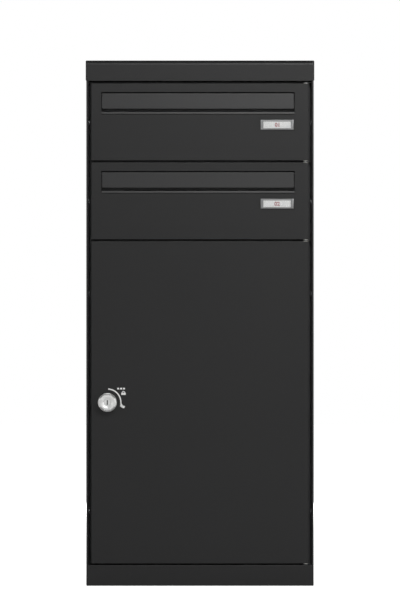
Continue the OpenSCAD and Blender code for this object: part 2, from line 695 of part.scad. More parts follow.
// Rubber stops that the closed flap rests against.
stop_front = rod_y - (curl_r - flap_t) / cos(flap_lean) - (tab_mid - stop_r) * tan(flap_lean) + stop_gap;
module flap_buffers(z) color("#1d1d1e") at_both_ends()
  bar_y(slot_x0 + tab_in - stop_r - 1, stop_front, tab_y - bracket_t, rod_z(z) - tab_mid, stop_r);

// Behind the slot: the plate that carries the hidden lock, its shelf and the sloping letter guide.
module slot_liner(z) color("#5a5b5d") difference() {
  union() {
    block([slot_x0 - 13, lock_face_y, slot_z0(z) - 6], [slot_x0 + 38, lock_face_y + liner_t, rod_z(z) + 3]);
    block([slot_x0 - 13, skin_back, slot_z0(z) - 6], [slot_x0 - 13 + liner_t, lock_face_y + liner_t, rod_z(z) + 3]);
    block([slot_x0 + 38 - liner_t, lock_face_y - 4, slot_z0(z) - 6], [slot_x0 + 38, lock_face_y + liner_t, rod_z(z) - 6]);
    block([slot_x0 - 13, skin_back, slot_z0(z) - 6], [slot_x0 + 38, lock_face_y + liner_t, slot_z0(z) - 6 + liner_t]);
    block([slot_x0 - 13, skin_back, slot_z0(z) - 6 - liner_foot], [slot_x1, skin_back + liner_t, slot_z0(z) - 6 + liner_t]);
    translate([0, skin_back, slot_z0(z) - 6]) rotate([-20, 0, 0])
      block([slot_x0 + 38 - liner_t, 0, 0], [slot_x1, 30, liner_t]);
  }
  bar_y(mail_lock_x, lock_face_y - over, lock_face_y + liner_t + over, mail_lock_z(z), mail_barrel_r + fit_clear);
  block([slot_x0 - 14, front_y, slot_z0(z) - 20], [slot_x1 + over, skin_back, slot_z0(z)]);
}

// ---------- letter locks ----------

mail_barrel_back = cam_y - 0.3;
module mail_lock_barrel(z) color("#c6c9cb") difference() {
  union() {
    bar_y(mail_lock_x, lock_face_y - mail_head_t, lock_face_y, mail_lock_z(z), mail_head_r);
    bar_y(mail_lock_x, lock_face_y - mail_head_t, mail_barrel_back, mail_lock_z(z), mail_barrel_r);
  }
  bar_y(mail_lock_x, lock_face_y - mail_head_t - over, mail_barrel_back + over, mail_lock_z(z), mail_plug_r + run_clear);
}

module mail_lock_nut(z) color("#9ea2a5") difference() {
  nut_y(mail_lock_x, lock_face_y + liner_t, lock_face_y + liner_t + mail_nut_t, mail_lock_z(z), mail_barrel_r + 3.5);
  bar_y(mail_lock_x, lock_face_y, lock_face_y + liner_t + mail_nut_t + over, mail_lock_z(z), mail_barrel_r + fit_clear);
}

cam_stud_r = 3;
module mail_lock_plug(z) color("#d2d5d7") difference() {
  union() {
    bar_y(mail_lock_x, lock_face_y - mail_head_t - 0.2, mail_barrel_back, mail_lock_z(z), mail_plug_r);
    bar_y(mail_lock_x, mail_barrel_back - over, cam_y + cam_t + 3.4, mail_lock_z(z), cam_stud_r);
  }
  key_slot(mail_lock_x, mail_lock_z(z), lock_face_y - mail_head_t - over, mail_barrel_back - 3);
}

module mail_lock_cam(z) color("#8c8f92")
  cam(mail_lock_x, mail_lock_z(z), mail_lock_x - cam_tip_x, 7, 8, cam_stud_r + fit_clear);

module mail_lock_cam_nut(z) color("#b9bcbf") difference() {
  nut_y(mail_lock_x, cam_y + cam_t, cam_y + cam_t + 3, mail_lock_z(z), cam_stud_r + 3);
  bar_y(mail_lock_x, cam_y, cam_y + cam_t + 5, mail_lock_z(z), cam_stud_r + fit_clear);
}

// ---------- name plates ----------

label_half_w = plate_w / 2 - end_w;
label_half_h = plate_h / 2 - rail_h;

module name_frame(z) color("#b4b6b8") translate([plate_x, 0, plate_z(z)]) difference() {
  union() {
    block([-plate_w / 2, front_y - plate_d, -plate_h / 2], [plate_w / 2, front_y, plate_h / 2]);
    for (x = [-1, 1]) bar_y(x * plate_w / 3, front_y - 0.1, skin_back + stud_reach, 0, stud_r);
  }
  block([-label_half_w, front_y - plate_d - over, -label_half_h], [label_half_w, front_y - plate_d + 1.6, label_half_h]);
  for (x = [-1, 1]) block([x * (plate_w / 2 - 2.6) - groove_w / 2, front_y - plate_d - over, -plate_h / 2 + 1.2],
                          [x * (plate_w / 2 - 2.6) + groove_w / 2, front_y - plate_d + 0.8, plate_h / 2 - 1.2]);
}

module name_label(z) color("#ececec") translate([plate_x, 0, plate_z(z)])
  block([-label_half_w + 0.1, front_y - plate_d + 1.6 - label_t, -label_half_h + 0.1],
        [label_half_w - 0.1, front_y - plate_d + 1.6, label_half_h - 0.1]);

module name_window(z) color([0.9, 0.92, 0.93, 0.4]) translate([plate_x, 0, plate_z(z)])
  block([-label_half_w + 0.05, front_y - plate_d + 1.6 - label_t - window_t, -label_half_h + 0.05],
        [label_half_w - 0.05, front_y - plate_d + 1.6 - label_t, label_half_h - 0.05]);

// ---------- the part ----------

side_left();
side_right();
back_panel();
plinth();
roof_plate();
roof_cap();
parcel_box_sides();
parcel_box_ends();
union() { parcel_box_faces(); parcel_box_rear(); }
mail_box(mail_low_z);  // mail_box_lower
mail_box(mail_up_z);  // mail_box_upper
pivot_lugs();
pivot_pins();
union() { box_screws(); plinth_bolts(); }
box_spacers();
casing_rivets();
cap_screws();
box_buffers();
parcel_door();
parcel_door_bushes();
door_stiffener();
lock_rose();
lock_barrel();
lock_nut();
lock_mark();
lock_knob();
lock_spindle();
lock_cam();
lock_cam_nut();
lock_plug();
for (level = [["upper", mail_up_z], ["lower", mail_low_z]]) {
  tag = level[0];
  z = level[1];
  mail_door(z);
  door_bushes(mail_door_lo(z), mail_door_hi(z));
  slot_liner(z);
  flap_rod(z);
  flap_brackets(z);
  flap_buffers(z);
  letter_flap(z);
  name_frame(z);
  name_label(z);
  name_window(z);
  mail_lock_barrel(z);
  mail_lock_nut(z);
  mail_lock_plug(z);
  mail_lock_cam(z);
  mail_lock_cam_nut(z);
}
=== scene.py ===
import json
from math import atan2, cos, degrees, pi, radians, sin

import bmesh
import bpy
from bpy.props import FloatProperty, FloatVectorProperty, IntProperty, PointerProperty
from mathutils import Matrix, Vector


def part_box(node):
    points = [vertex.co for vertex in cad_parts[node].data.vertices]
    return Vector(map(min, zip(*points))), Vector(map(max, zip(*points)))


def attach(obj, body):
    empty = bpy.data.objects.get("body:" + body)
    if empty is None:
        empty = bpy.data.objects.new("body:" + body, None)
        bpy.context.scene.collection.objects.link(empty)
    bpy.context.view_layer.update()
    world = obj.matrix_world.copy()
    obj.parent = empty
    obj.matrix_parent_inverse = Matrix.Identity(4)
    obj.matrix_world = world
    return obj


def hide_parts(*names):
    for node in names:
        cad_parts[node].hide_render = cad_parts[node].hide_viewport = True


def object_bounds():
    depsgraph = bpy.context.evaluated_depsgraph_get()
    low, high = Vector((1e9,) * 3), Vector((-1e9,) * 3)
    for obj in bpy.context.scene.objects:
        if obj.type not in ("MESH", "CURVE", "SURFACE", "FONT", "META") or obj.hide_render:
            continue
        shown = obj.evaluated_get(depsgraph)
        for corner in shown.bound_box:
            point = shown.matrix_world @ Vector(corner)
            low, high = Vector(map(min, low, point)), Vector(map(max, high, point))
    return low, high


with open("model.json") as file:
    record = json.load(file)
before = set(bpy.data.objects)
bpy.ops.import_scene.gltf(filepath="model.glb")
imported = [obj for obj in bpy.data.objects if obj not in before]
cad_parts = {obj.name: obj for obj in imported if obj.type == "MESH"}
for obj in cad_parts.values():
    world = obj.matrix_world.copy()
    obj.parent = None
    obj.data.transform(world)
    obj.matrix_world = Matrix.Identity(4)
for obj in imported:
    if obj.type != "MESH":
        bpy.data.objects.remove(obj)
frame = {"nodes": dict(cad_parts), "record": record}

bl_info = {
    "name": "Parcel Locker",
    "version": (1, 0, 0),
    "blender": (4, 5, 0),
    "location": "3D View > Sidebar > Locker",
    "description": "Builds a painted sheet-metal parcel locker round its frame",
    "category": "Add Mesh",
}

CAD_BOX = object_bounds()
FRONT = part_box("parcel_door")[0].y
LEVELS = ("upper", "lower")
MM = 0.001
TOUCH = 0.00002
LEFT, RIGHT = -1, 1


def lowest(node):
    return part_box(node)[0]


def highest(node):
    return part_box(node)[1]


def middle(node):
    low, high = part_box(node)
    return (low + high) / 2


# ---------------------------------------------------------------- sizes and colours

def length_property(name, description, default, low, high):
    """A length whose default and limits are given in millimetres"""
    return FloatProperty(name=name, description=description, default=default * MM, min=low * MM, max=high * MM,
                         unit="LENGTH")


def colour_property(name, description, default):
    return FloatVectorProperty(name=name, description=description, subtype="COLOR", size=3, default=default,
                               min=0, max=1)


class LockerSizes(bpy.types.PropertyGroup):
    """Sizes of the sheet metal and the fittings"""

    sheet: length_property("Sheet", "Thickness of doors, sides and plinth", 1.5, 0.8, 3)
    cap_sheet: length_property("Cap sheet", "Thickness of the roof cap", 1.0, 0.6, 2)
    fold_radius: length_property("Fold radius", "Outer radius of folded edges", 1.6, 0.5, 3)
    door_radius: length_property("Door radius", "Outer radius round a door's face", 1.0, 0.5, 2)
    cap_radius: length_property("Cap radius", "Radius along the cap's top front edge", 7.5, 1, 10)
    foot_radius: length_property("Foot radius", "Radius of the fold under the plinth", 4.0, 1, 8)
    cut_radius: length_property("Cut edge radius", "Paint-softened radius of cut edges", 0.3, 0.1, 1)
    post_width: length_property("Post width", "Width of a post face beside the doors", 3.5, 2, 10)
    post_radius: length_property("Post radius", "Outer radius of a post's front folds", 0.8, 0.3, 1.6)
    post_return: length_property("Post return", "Depth of a post's return", 40, 10, 80)
    lip_width: length_property("Door lip", "Width of the lips behind a door", 9.5, 4, 14)
    slot_height: length_property("Slot height", "Height of a letter slot", 33.5, 30, 40)
    flap_gap: length_property("Flap gap", "Gap over a flap and at its ends", 1.5, 0.5, 3)
    lip_height: length_property("Pressed lip", "Height of the lip under a slot", 4.4, 3, 6)
    flap_sheet: length_property("Flap sheet", "Thickness of a flap", 1.2, 0.8, 2)
    flap_lean: FloatProperty(name="Flap lean", description="Forward lean of a closed flap",
                             default=radians(5), min=0, max=radians(10), subtype="ANGLE")
    hem_depth: length_property("Hem depth", "Depth of the hem under a flap", 7.5, 4, 9)
    pull_drop: length_property("Finger pull", "Drop of the finger pull behind a flap's hem", 2.0, 0.5, 4)
    grip_grooves: IntProperty(name="Grip grooves", description="Grooves in each of the knob's grips",
                              default=4, min=2, max=8)
    mark_width: length_property("Mark width", "Width of the turning mark's line", 2.1, 1, 4)


class LockerFinishes(bpy.types.PropertyGroup):
    """Colours of the paint, the metals and the small parts"""

    coat: colour_property("Outer coat", "Colour of the textured powder coat", (0.014, 0.014, 0.0142))
    # Painted light: the flaps' coat is the outer coat made lighter, standing in for the light the leaning flaps
    # catch
    flap_coat_painted_light: colour_property("Flap coat with painted light", "Colour of the letter flaps' coat", (0.017, 0.017, 0.0174))
    inner_coat: colour_property("Inner coat", "Colour of the coat inside", (0.060, 0.061, 0.063))
    nickel: colour_property("Nickel", "Colour of the knob and the lock faces", (0.84, 0.84, 0.83))
    zinc: colour_property("Zinc", "Colour of the plated steel inside", (0.50, 0.51, 0.53))
    frame_metal: colour_property("Plate frame", "Colour of the name plates' frames", (0.30, 0.303, 0.306))
    paper: colour_property("Label", "Colour of the paper labels", (0.74, 0.74, 0.73))
    numeral: colour_property("Numeral", "Colour of the compartment numbers", (0.30, 0.05, 0.05))


# ---------------------------------------------------------------- mesh tools

def add_block(bm, low, high):
    """A cuboid between two corners. Returns its faces."""
    low, high = Vector(low), Vector(high)
    place = Matrix.Translation((low + high) / 2) @ Matrix.Diagonal((*(high - low), 1.0))
    made = bmesh.ops.create_cube(bm, size=1.0, matrix=place)
    return list(dict.fromkeys(face for vert in made["verts"] for face in vert.link_faces))


def add_bar(bm, start, end, radius, segments):
    """A round bar between two points, closed at its ends."""
    start, end = Vector(start), Vector(end)
    turn = (end - start).to_track_quat("Z", "Y").to_matrix().to_4x4()
    place = Matrix.Translation((start + end) / 2) @ turn
    bmesh.ops.create_cone(bm, cap_ends=True, segments=segments, radius1=radius, radius2=radius,
                          depth=(end - start).length, matrix=place)


def add_turned(bm, outline, centre, steps):
    """A shape turned about an axis along Y. The outline holds (radius, distance in front of centre)."""
    verts = [bm.verts.new((centre.x + radius, centre.y - height, centre.z)) for radius, height in outline]
    edges = [bm.edges.new(pair) for pair in zip(verts, verts[1:])]
    if outline[0][0] > 0:
        edges.append(bm.edges.new((verts[-1], verts[0])))
    bmesh.ops.spin(bm, geom=verts + edges, cent=centre, axis=(0, 1, 0), angle=2 * pi, steps=steps,
                   use_merge=True, use_duplicate=False)
    bmesh.ops.remove_doubles(bm, verts=bm.verts[:], dist=0.005 * MM)
    bmesh.ops.recalc_face_normals(bm, faces=bm.faces[:])


def sweep(bm, geom, centre, axis, angle, steps):
    """Sweeps points and edges round an axis into edges and faces. Returns what lies at the far end."""
    return bmesh.ops.spin(bm, geom=geom, cent=centre, axis=axis, angle=angle, steps=steps,
                          use_merge=False, use_duplicate=False)["geom_last"]


def verts_in(items):
    return [item for item in items if isinstance(item, bmesh.types.BMVert)]


def along(axis):
    """The unit vector along one axis."""
    return Vector([1 if i == axis else 0 for i in range(3)])


def faces_facing(bm, axis, sign):
    """The flat faces that look along one axis."""
    return [face for face in bm.faces if face.normal[axis] * sign > 0.99]


def edges_along(bm, test):
    """The edges whose two ends both pass a test of their place."""
    return [edge for edge in bm.edges if all(test(vert.co) for vert in edge.verts)]


def near(a, b):
    return abs(a - b) < TOUCH


def drop_faces(bm, faces):
    bmesh.ops.delete(bm, geom=faces, context="FACES")


def round_edges(bm, edges, radius, segments=4):
    bmesh.ops.bevel(bm, geom=edges, offset=radius, offset_type="OFFSET", segments=segments, profile=0.5,
                    affect="EDGES", material=-1, clamp_overlap=True)


def slice_faces(bm, faces, axis, places):
    """Cuts flat faces across one axis. Returns all the faces that they become."""
    for place in places:
        parts = dict.fromkeys(part for face in faces for part in (*face.edges, *face.verts))
        cut = bmesh.ops.bisect_plane(bm, geom=[*faces, *parts], plane_co=along(axis) * place, plane_no=along(axis))
        faces = [item for item in cut["geom"] if isinstance(item, bmesh.types.BMFace)]
    return faces


def sink_face(bm, face, move):
    """Pushes one face into or out of the metal, with walls round it."""
    made = bmesh.ops.extrude_face_region(bm, geom=[face])["geom"]
    bmesh.ops.translate(bm, verts=verts_in(made), vec=move)
    if face.is_valid:
        bmesh.ops.delete(bm, geom=[face], context="FACES_ONLY")


def fold_inwards(bm, edges, move):
    """Grows a flange from the sheet's free edges."""
    made = bmesh.ops.extrude_edge_only(bm, edges=edges)["geom"]
    bmesh.ops.translate(bm, verts=verts_in(made), vec=move)


def face_at(bm, place, axis):
    """The smallest flat face across one axis that a point lies in."""
    def holds(face):
        if not all(near(vert.co[axis], place[axis]) for vert in face.verts):
            return False
        return all(min(v.co[i] for v in face.verts) < place[i] < max(v.co[i] for v in face.verts)
                   for i in range(3) if i != axis)
    return min((face for face in bm.faces if holds(face)), key=lambda face: face.calc_area())


def cut_patch(bm, place, axis, spans):
    """Cuts a rectangular patch round a point into its flat face. Spans hold (axis, low, high)."""
    for across, low, high in spans:
        slice_faces(bm, [face_at(bm, place, axis)], across, (low,))
        slice_faces(bm, [face_at(bm, place, axis)], across, (high,))
    return face_at(bm, place, axis)


def round_patch(bm, place, axis, radius, sides):
    """Cuts a round patch into a flat face: a square whose corners are trimmed in small steps."""
    across = [i for i in range(3) if i != axis]
    patch = cut_patch(bm, place, axis, [(i, place[i] - radius, place[i] + radius) for i in across])
    for step in range(sides):
        if step % (sides // 4) == 0:
            continue
        angle = 2 * pi * step / sides
        normal = along(across[0]) * cos(angle) + along(across[1]) * sin(angle)
        bmesh.ops.bisect_plane(bm, geom=[patch, *patch.edges, *patch.verts],
                               plane_co=place + normal * radius, plane_no=normal)
        patch = face_at(bm, place, axis)
    return patch


def join_skins(bm, patches):
    """Opens a patch in each of a wall's two skins and walls up the hole's sides."""
    rims = [edge for patch in patches for edge in patch.edges]
    bmesh.ops.delete(bm, geom=patches, context="FACES_ONLY")
    bmesh.ops.bridge_loops(bm, edges=rims)


def pierce_window(bm, place, axis, depth, spans):
    """Pierces a rectangular opening through a wall whose outer skin holds place."""
    inner = place.copy()
    inner[axis] += depth
    join_skins(bm, [cut_patch(bm, place, axis, spans), cut_patch(bm, inner, axis, spans)])


def pierce_hole(bm, place, axis, depth, radius, sides=24):
    """Pierces a round hole through a wall whose outer skin holds place."""
    inner = place.copy()
    inner[axis] += depth
    join_skins(bm, [round_patch(bm, place, axis, radius, sides), round_patch(bm, inner, axis, radius, sides)])


def finish_piece(name, bm, body, material, nodes=(), ease=0.0, smooth=35, second=None):
    """Turns a mesh under work into a finished piece that rides on a body and stands for some nodes."""
    mesh = bpy.data.meshes.new(name)
    bm.normal_update()
    bm.to_mesh(mesh)
    bm.free()
    mesh.shade_smooth()
    mesh.set_sharp_from_angle(angle=radians(smooth))
    mesh.materials.append(material)
    if second:
        mesh.materials.append(second)
    piece = bpy.data.objects.new(name, mesh)
    bpy.context.scene.collection.objects.link(piece)
    if ease:
        bevel = piece.modifiers.new("Eased edges", "BEVEL")
        bevel.width = ease
        bevel.segments = 2
        bevel.limit_method = "ANGLE"
        bevel.angle_limit = radians(50)
        bevel.use_clamp_overlap = True
        bevel.harden_normals = True
    level = piece.modifiers.new("Level normals", "WEIGHTED_NORMAL")
    level.keep_sharp = True
    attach(piece, body)
    if nodes:
        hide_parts(*nodes)


# ---------------------------------------------------------------- materials

def link(tree, source, target):
    tree.links.new(source, target)


def new_group(name, inputs, outputs):
    """An empty node group with float inputs, given as (name, value), and named float outputs."""
    group = bpy.data.node_groups.new(name, "ShaderNodeTree")
    for label, value in inputs:
        socket = group.interface.new_socket(label, in_out="INPUT", socket_type="NodeSocketFloat")
        socket.default_value = value
    for label in outputs:
        group.interface.new_socket(label, in_out="OUTPUT", socket_type="NodeSocketFloat")
    return group, group.nodes.new("NodeGroupInput"), group.nodes.new("NodeGroupOutput")


def add_noise(group, vector, scale, detail=2.0, roughness=0.55):
    """A noise texture; scale is a number or a socket."""
    noise = group.nodes.new("ShaderNodeTexNoise")
    noise.inputs["Detail"].default_value = detail
    noise.inputs["Roughness"].default_value = roughness
    if isinstance(scale, float):
        noise.inputs["Scale"].default_value = scale
    else:
        link(group, scale, noise.inputs["Scale"])
    link(group, vector, noise.inputs["Vector"])
    return noise.outputs["Fac"]


def add_math(group, operation, first, second=None):
    node = group.nodes.new("ShaderNodeMath")
    node.operation = operation
    for socket, value in zip(node.inputs, (first, second)):
        if value is None:
            continue
        if isinstance(value, (int, float)):
            socket.default_value = value
        else:
            link(group, value, socket)
    return node.outputs[0]


def object_place(group):
    return group.nodes.new("ShaderNodeTexCoord").outputs["Object"]


def coat_texture_group():
    """Powder coat: a fine pebbled height, a slow mottle and a sparse fleck."""
    group, given, out = new_group("Coat texture", [("Grain", 900.0)], ["Height", "Mottle", "Fleck"])
    place = object_place(group)
    fine = add_noise(group, place, given.outputs["Grain"], 3.0, 0.6)
    coarse = add_noise(group, place, add_math(group, "MULTIPLY", given.outputs["Grain"], 0.33), 1.0, 0.5)
    height = add_math(group, "ADD", add_math(group, "MULTIPLY", fine, 0.6),
                      add_math(group, "MULTIPLY", coarse, 0.4))
    link(group, height, out.inputs["Height"])
    link(group, add_noise(group, place, 5.0, 4.0, 0.6), out.inputs["Mottle"])
    fleck = add_math(group, "GREATER_THAN", add_noise(group, place, 1500.0, 0.0), 0.7)
    link(group, fleck, out.inputs["Fleck"])


def edge_highlight_group():
    """A mask of the outer edges, where the coat gets a painted highlight. It compares the surface with a rounded
    copy.
    """
    group, given, out = new_group("Painted edge highlight", [("Reach", 0.001)], ["Edge"])
    rounded = group.nodes.new("ShaderNodeBevel")
    rounded.samples = 4
    link(group, given.outputs["Reach"], rounded.inputs["Radius"])
    surface = group.nodes.new("ShaderNodeNewGeometry")
    turn = group.nodes.new("ShaderNodeVectorMath")
    turn.operation = "DOT_PRODUCT"
    link(group, rounded.outputs["Normal"], turn.inputs[0])
    link(group, surface.outputs["Normal"], turn.inputs[1])
    edge = add_math(group, "MULTIPLY", add_math(group, "SUBTRACT", 1.0, turn.outputs["Value"]), 6.0)
    link(group, add_math(group, "MINIMUM", edge, 1.0), out.inputs["Edge"])


def lathe_group():
    """Fine rings round an axis along Y through the incoming place, as a lathe leaves them."""
    group = bpy.data.node_groups.new("Lathe rings", "ShaderNodeTree")
    group.interface.new_socket("Place", in_out="INPUT", socket_type="NodeSocketVector")
    group.interface.new_socket("Rings", in_out="INPUT", socket_type="NodeSocketFloat")
    group.interface.new_socket("Height", in_out="OUTPUT", socket_type="NodeSocketFloat")
    given, out = group.nodes.new("NodeGroupInput"), group.nodes.new("NodeGroupOutput")
    split = group.nodes.new("ShaderNodeSeparateXYZ")
    link(group, given.outputs["Place"], split.inputs[0])
    squares = [add_math(group, "MULTIPLY", split.outputs[i], split.outputs[i]) for i in ("X", "Z")]
    radius = add_math(group, "SQRT", add_math(group, "ADD", *squares))
    noise = group.nodes.new("ShaderNodeTexNoise")
    noise.noise_dimensions = "1D"
    noise.inputs["Scale"].default_value = 1.0
    noise.inputs["Detail"].default_value = 3.0
    link(group, add_math(group, "MULTIPLY", radius, given.outputs["Rings"]), noise.inputs["W"])
    link(group, noise.outputs["Fac"], out.inputs["Height"])


def brushed_group():
    """Long scratches along X, with a slow stain over them."""
    group, given, out = new_group("Brushed metal", [("Grain", 4000.0)], ["Height", "Stain"])
    place = object_place(group)
    stretch = group.nodes.new("ShaderNodeMapping")
    stretch.inputs["Scale"].default_value = (0.02, 1.0, 1.0)
    link(group, place, stretch.inputs["Vector"])
    scratches = add_noise(group, stretch.outputs["Vector"], given.outputs["Grain"], 3.0, 0.6)
    link(group, scratches, out.inputs["Height"])
    link(group, add_noise(group, place, 40.0, 3.0, 0.6), out.inputs["Stain"])


def spangle_group():
    """The crystal pattern of zinc plating."""
    group, given, out = new_group("Zinc crystals", [("Grain", 140.0)], ["Tone", "Height"])
    place = object_place(group)
    cells = group.nodes.new("ShaderNodeTexVoronoi")
    link(group, place, cells.inputs["Vector"])
    link(group, given.outputs["Grain"], cells.inputs["Scale"])
    split = group.nodes.new("ShaderNodeSeparateColor")
    link(group, cells.outputs["Color"], split.inputs[0])
    link(group, split.outputs[0], out.inputs["Tone"])
    link(group, add_noise(group, place, 1800.0, 2.0), out.inputs["Height"])


def group_node(material, group, **values):
    node = material.node_tree.nodes.new("ShaderNodeGroup")
    node.node_tree = bpy.data.node_groups[group]
    for label, value in values.items():
        node.inputs[label.capitalize()].default_value = value
    return node


def start_material(name, roughness, metallic=0.0, ior=1.5):
    """A material that holds a Principled shader with plain sockets set."""
    material = bpy.data.materials.new(name)
    material.use_nodes = True
    shader = material.node_tree.nodes["Principled BSDF"]
    shader.inputs["Roughness"].default_value = roughness
    shader.inputs["Metallic"].default_value = metallic
    shader.inputs["IOR"].default_value = ior
    return material, shader


def drive_colour(material, shader, mask, dark, light):
    """Runs the base colour between two colours by a mask."""
    mix = material.node_tree.nodes.new("ShaderNodeMix")
    mix.data_type = "RGBA"
    mix.inputs["A"].default_value = (*dark, 1)
    mix.inputs["B"].default_value = (*light, 1)
    link(material.node_tree, mask, mix.inputs["Factor"])
    link(material.node_tree, mix.outputs["Result"], shader.inputs["Base Color"])
    return mix.outputs["Result"]


def lay_over(tree, mask, under, colour):
    """Lays a colour over a colour socket where a mask is high. Returns the socket of the two together."""
    mix = tree.nodes.new("ShaderNodeMix")
    mix.data_type = "RGBA"
    mix.inputs["B"].default_value = (*colour, 1)
    link(tree, mask, mix.inputs["Factor"])
    link(tree, under, mix.inputs["A"])
    return mix.outputs["Result"]


def drive_range(material, shader, socket, mask, low, high):
    """Runs a shader's socket between two numbers by a mask."""
    ramp = material.node_tree.nodes.new("ShaderNodeMapRange")
    ramp.inputs["To Min"].default_value = low
    ramp.inputs["To Max"].default_value = high
    link(material.node_tree, mask, ramp.inputs["Value"])
    link(material.node_tree, ramp.outputs["Result"], shader.inputs[socket])


def add_relief(material, shader, height, strength, depth):
    bump = material.node_tree.nodes.new("ShaderNodeBump")
    bump.inputs["Strength"].default_value = strength
    bump.inputs["Distance"].default_value = depth
    link(material.node_tree, height, bump.inputs["Height"])
    link(material.node_tree, bump.outputs["Normal"], shader.inputs["Normal"])


COAT_IOR, FLECK_GAIN = 1.43, 1.35
NICKEL_METALLIC, LATHE_RINGS = 0.55, 2500.0


def shade(colour, factor):
    return tuple(min(1.0, channel * factor) for channel in colour)


def coat_material(name, colour, roughness, grain, relief, edge_highlight_gain):
    """Powder coat with its pebbled skin, mottle, flecks and a painted highlight along its edges."""
    material, shader = start_material(name, roughness, ior=COAT_IOR)
    tree = material.node_tree
    texture = group_node(material, "Coat texture", grain=grain)
    tone = drive_colour(material, shader, texture.outputs["Mottle"], shade(colour, 0.93), shade(colour, 1.07))
    # Painted highlight: the coat is made lighter along its edges by the edge mask
    edge = group_node(material, "Painted edge highlight")
    tone = lay_over(tree, edge.outputs["Edge"], tone, shade(colour, edge_highlight_gain))
    tone = lay_over(tree, texture.outputs["Fleck"], tone, shade(colour, FLECK_GAIN))
    link(tree, tone, shader.inputs["Base Color"])
    drive_range(material, shader, "Roughness", texture.outputs["Mottle"], roughness - 0.04, roughness + 0.04)
    add_relief(material, shader, texture.outputs["Height"], relief, 0.05 * MM)


def turned_material(name, colour, roughness, centre):
    """Satin metal turned on a lathe about an axis along Y through centre."""
    material, shader = start_material(name, roughness, metallic=NICKEL_METALLIC)
    tree = material.node_tree
    place = tree.nodes.new("ShaderNodeTexCoord")
    centred = tree.nodes.new("ShaderNodeMapping")
    centred.inputs["Location"].default_value = -centre
    link(tree, place.outputs["Object"], centred.inputs["Vector"])
    rings_node = group_node(material, "Lathe rings", rings=LATHE_RINGS)
    link(tree, centred.outputs["Vector"], rings_node.inputs["Place"])
    drive_colour(material, shader, rings_node.outputs["Height"], shade(colour, 0.94), shade(colour, 1.05))
    drive_range(material, shader, "Roughness", rings_node.outputs["Height"], roughness - 0.03, roughness + 0.05)
    add_relief(material, shader, rings_node.outputs["Height"], 0.15, 0.02 * MM)


# For each kind of surface: its texture, how metallic it is, the outputs that vary its tone and its roughness,
# its darkest and lightest tone, how far its roughness varies, and the depth of its relief
SURFACES = {
    "brushed": ("Brushed metal", 1.0, "Stain", "Height", 0.9, 1.08, 0.06, 0.02 * MM),
    "plated": ("Zinc crystals", 1.0, "Tone", "Tone", 0.82, 1.12, 0.08, 0.02 * MM),
    "plain": ("Coat texture", 0.0, "Height", "Mottle", 0.92, 1.06, 0.05, 0.03 * MM),
}


def surface_material(kind, name, colour, roughness, grain, relief=0.2):
    """Brushed metal, crystalline plating, or the plain skin of rubber, nylon, card and print."""
    group, metallic, tone, wear, dark, light, spread, depth = SURFACES[kind]
    material, shader = start_material(name, roughness, metallic)
    texture = group_node(material, group, grain=grain)
    drive_colour(material, shader, texture.outputs[tone], shade(colour, dark), shade(colour, light))
    drive_range(material, shader, "Roughness", texture.outputs[wear], roughness - spread, roughness + spread)
    add_relief(material, shader, texture.outputs["Height"], relief, depth)


def window_material():
    """Clear acrylic, faintly scuffed."""
    material, shader = start_material("Clear acrylic", 0.06, ior=1.49)
    texture = group_node(material, "Coat texture", grain=300.0)
    drive_colour(material, shader, texture.outputs["Mottle"], (0.92, 0.94, 0.95), (0.98, 0.99, 1.0))
    drive_range(material, shader, "Roughness", texture.outputs["Mottle"], 0.03, 0.12)
    drive_range(material, shader, "Alpha", texture.outputs["Mottle"], 0.07, 0.11)


def finish(name):
    return bpy.data.materials[name]


class LOCKER_OT_finishes(bpy.types.Operator):
    """Makes the shared texture groups and every paint, metal and plastic"""

    bl_idname = "locker.finishes"
    bl_label = "Mix Finishes"

    def execute(self, context):
        colours = context.scene.locker_finishes
        for build in (coat_texture_group, edge_highlight_group, lathe_group, brushed_group, spangle_group):
            build()
        # The last number sets how much lighter the painted edge highlight is
        coat_material("Textured coat", colours.coat, 0.38, 900.0, 0.30, 1.35)
        # The flaps get a lighter copy of the outer coat: painted light
        coat_material("Flap coat with painted light", colours.flap_coat_painted_light, 0.38, 900.0, 0.28, 1.35)
        coat_material("Inner coat", colours.inner_coat, 0.55, 700.0, 0.2, 1.2)
        turned_material("Satin nickel", colours.nickel, 0.40, middle("lock_knob"))
        surface_material("brushed", "Bright zinc", shade(colours.zinc, 1.25), 0.30, 4000.0)
        surface_material("brushed", "Satin aluminium", colours.frame_metal, 0.36, 3000.0)
        surface_material("brushed", "Blackened steel", (0.045, 0.045, 0.047), 0.45, 4000.0)
        surface_material("plated", "Zinc plate", colours.zinc, 0.42, 140.0)
        # Painted shade laid inside the keyways
        surface_material("plain", "Keyway painted shade", (0.02, 0.02, 0.019), 0.6, 900.0, 0.1)
        # Painted shade for the knob's grip grooves
        surface_material("plain", "Groove painted shade", (0.24, 0.24, 0.235), 0.6, 900.0, 0.1)
        surface_material("plain", "Label card", colours.paper, 0.75, 1400.0, 0.1)
        surface_material("plain", "White print", (0.80, 0.80, 0.79), 0.5, 1600.0, 0.1)
        surface_material("plain", "Numeral print", colours.numeral, 0.5, 1600.0, 0.05)
        surface_material("plain", "Black rubber", (0.018, 0.018, 0.018), 0.7, 500.0, 0.4)
        surface_material("plain", "Natural nylon", (0.62, 0.62, 0.56), 0.42, 800.0, 0.1)
        window_material()
        for level in LEVELS:
            turned_material(f"Lock nickel {level}", colours.nickel, 0.26, middle(f"mail_lock_plug_{level}"))
        return {"FINISHED"}


# ---------------------------------------------------------------- casing

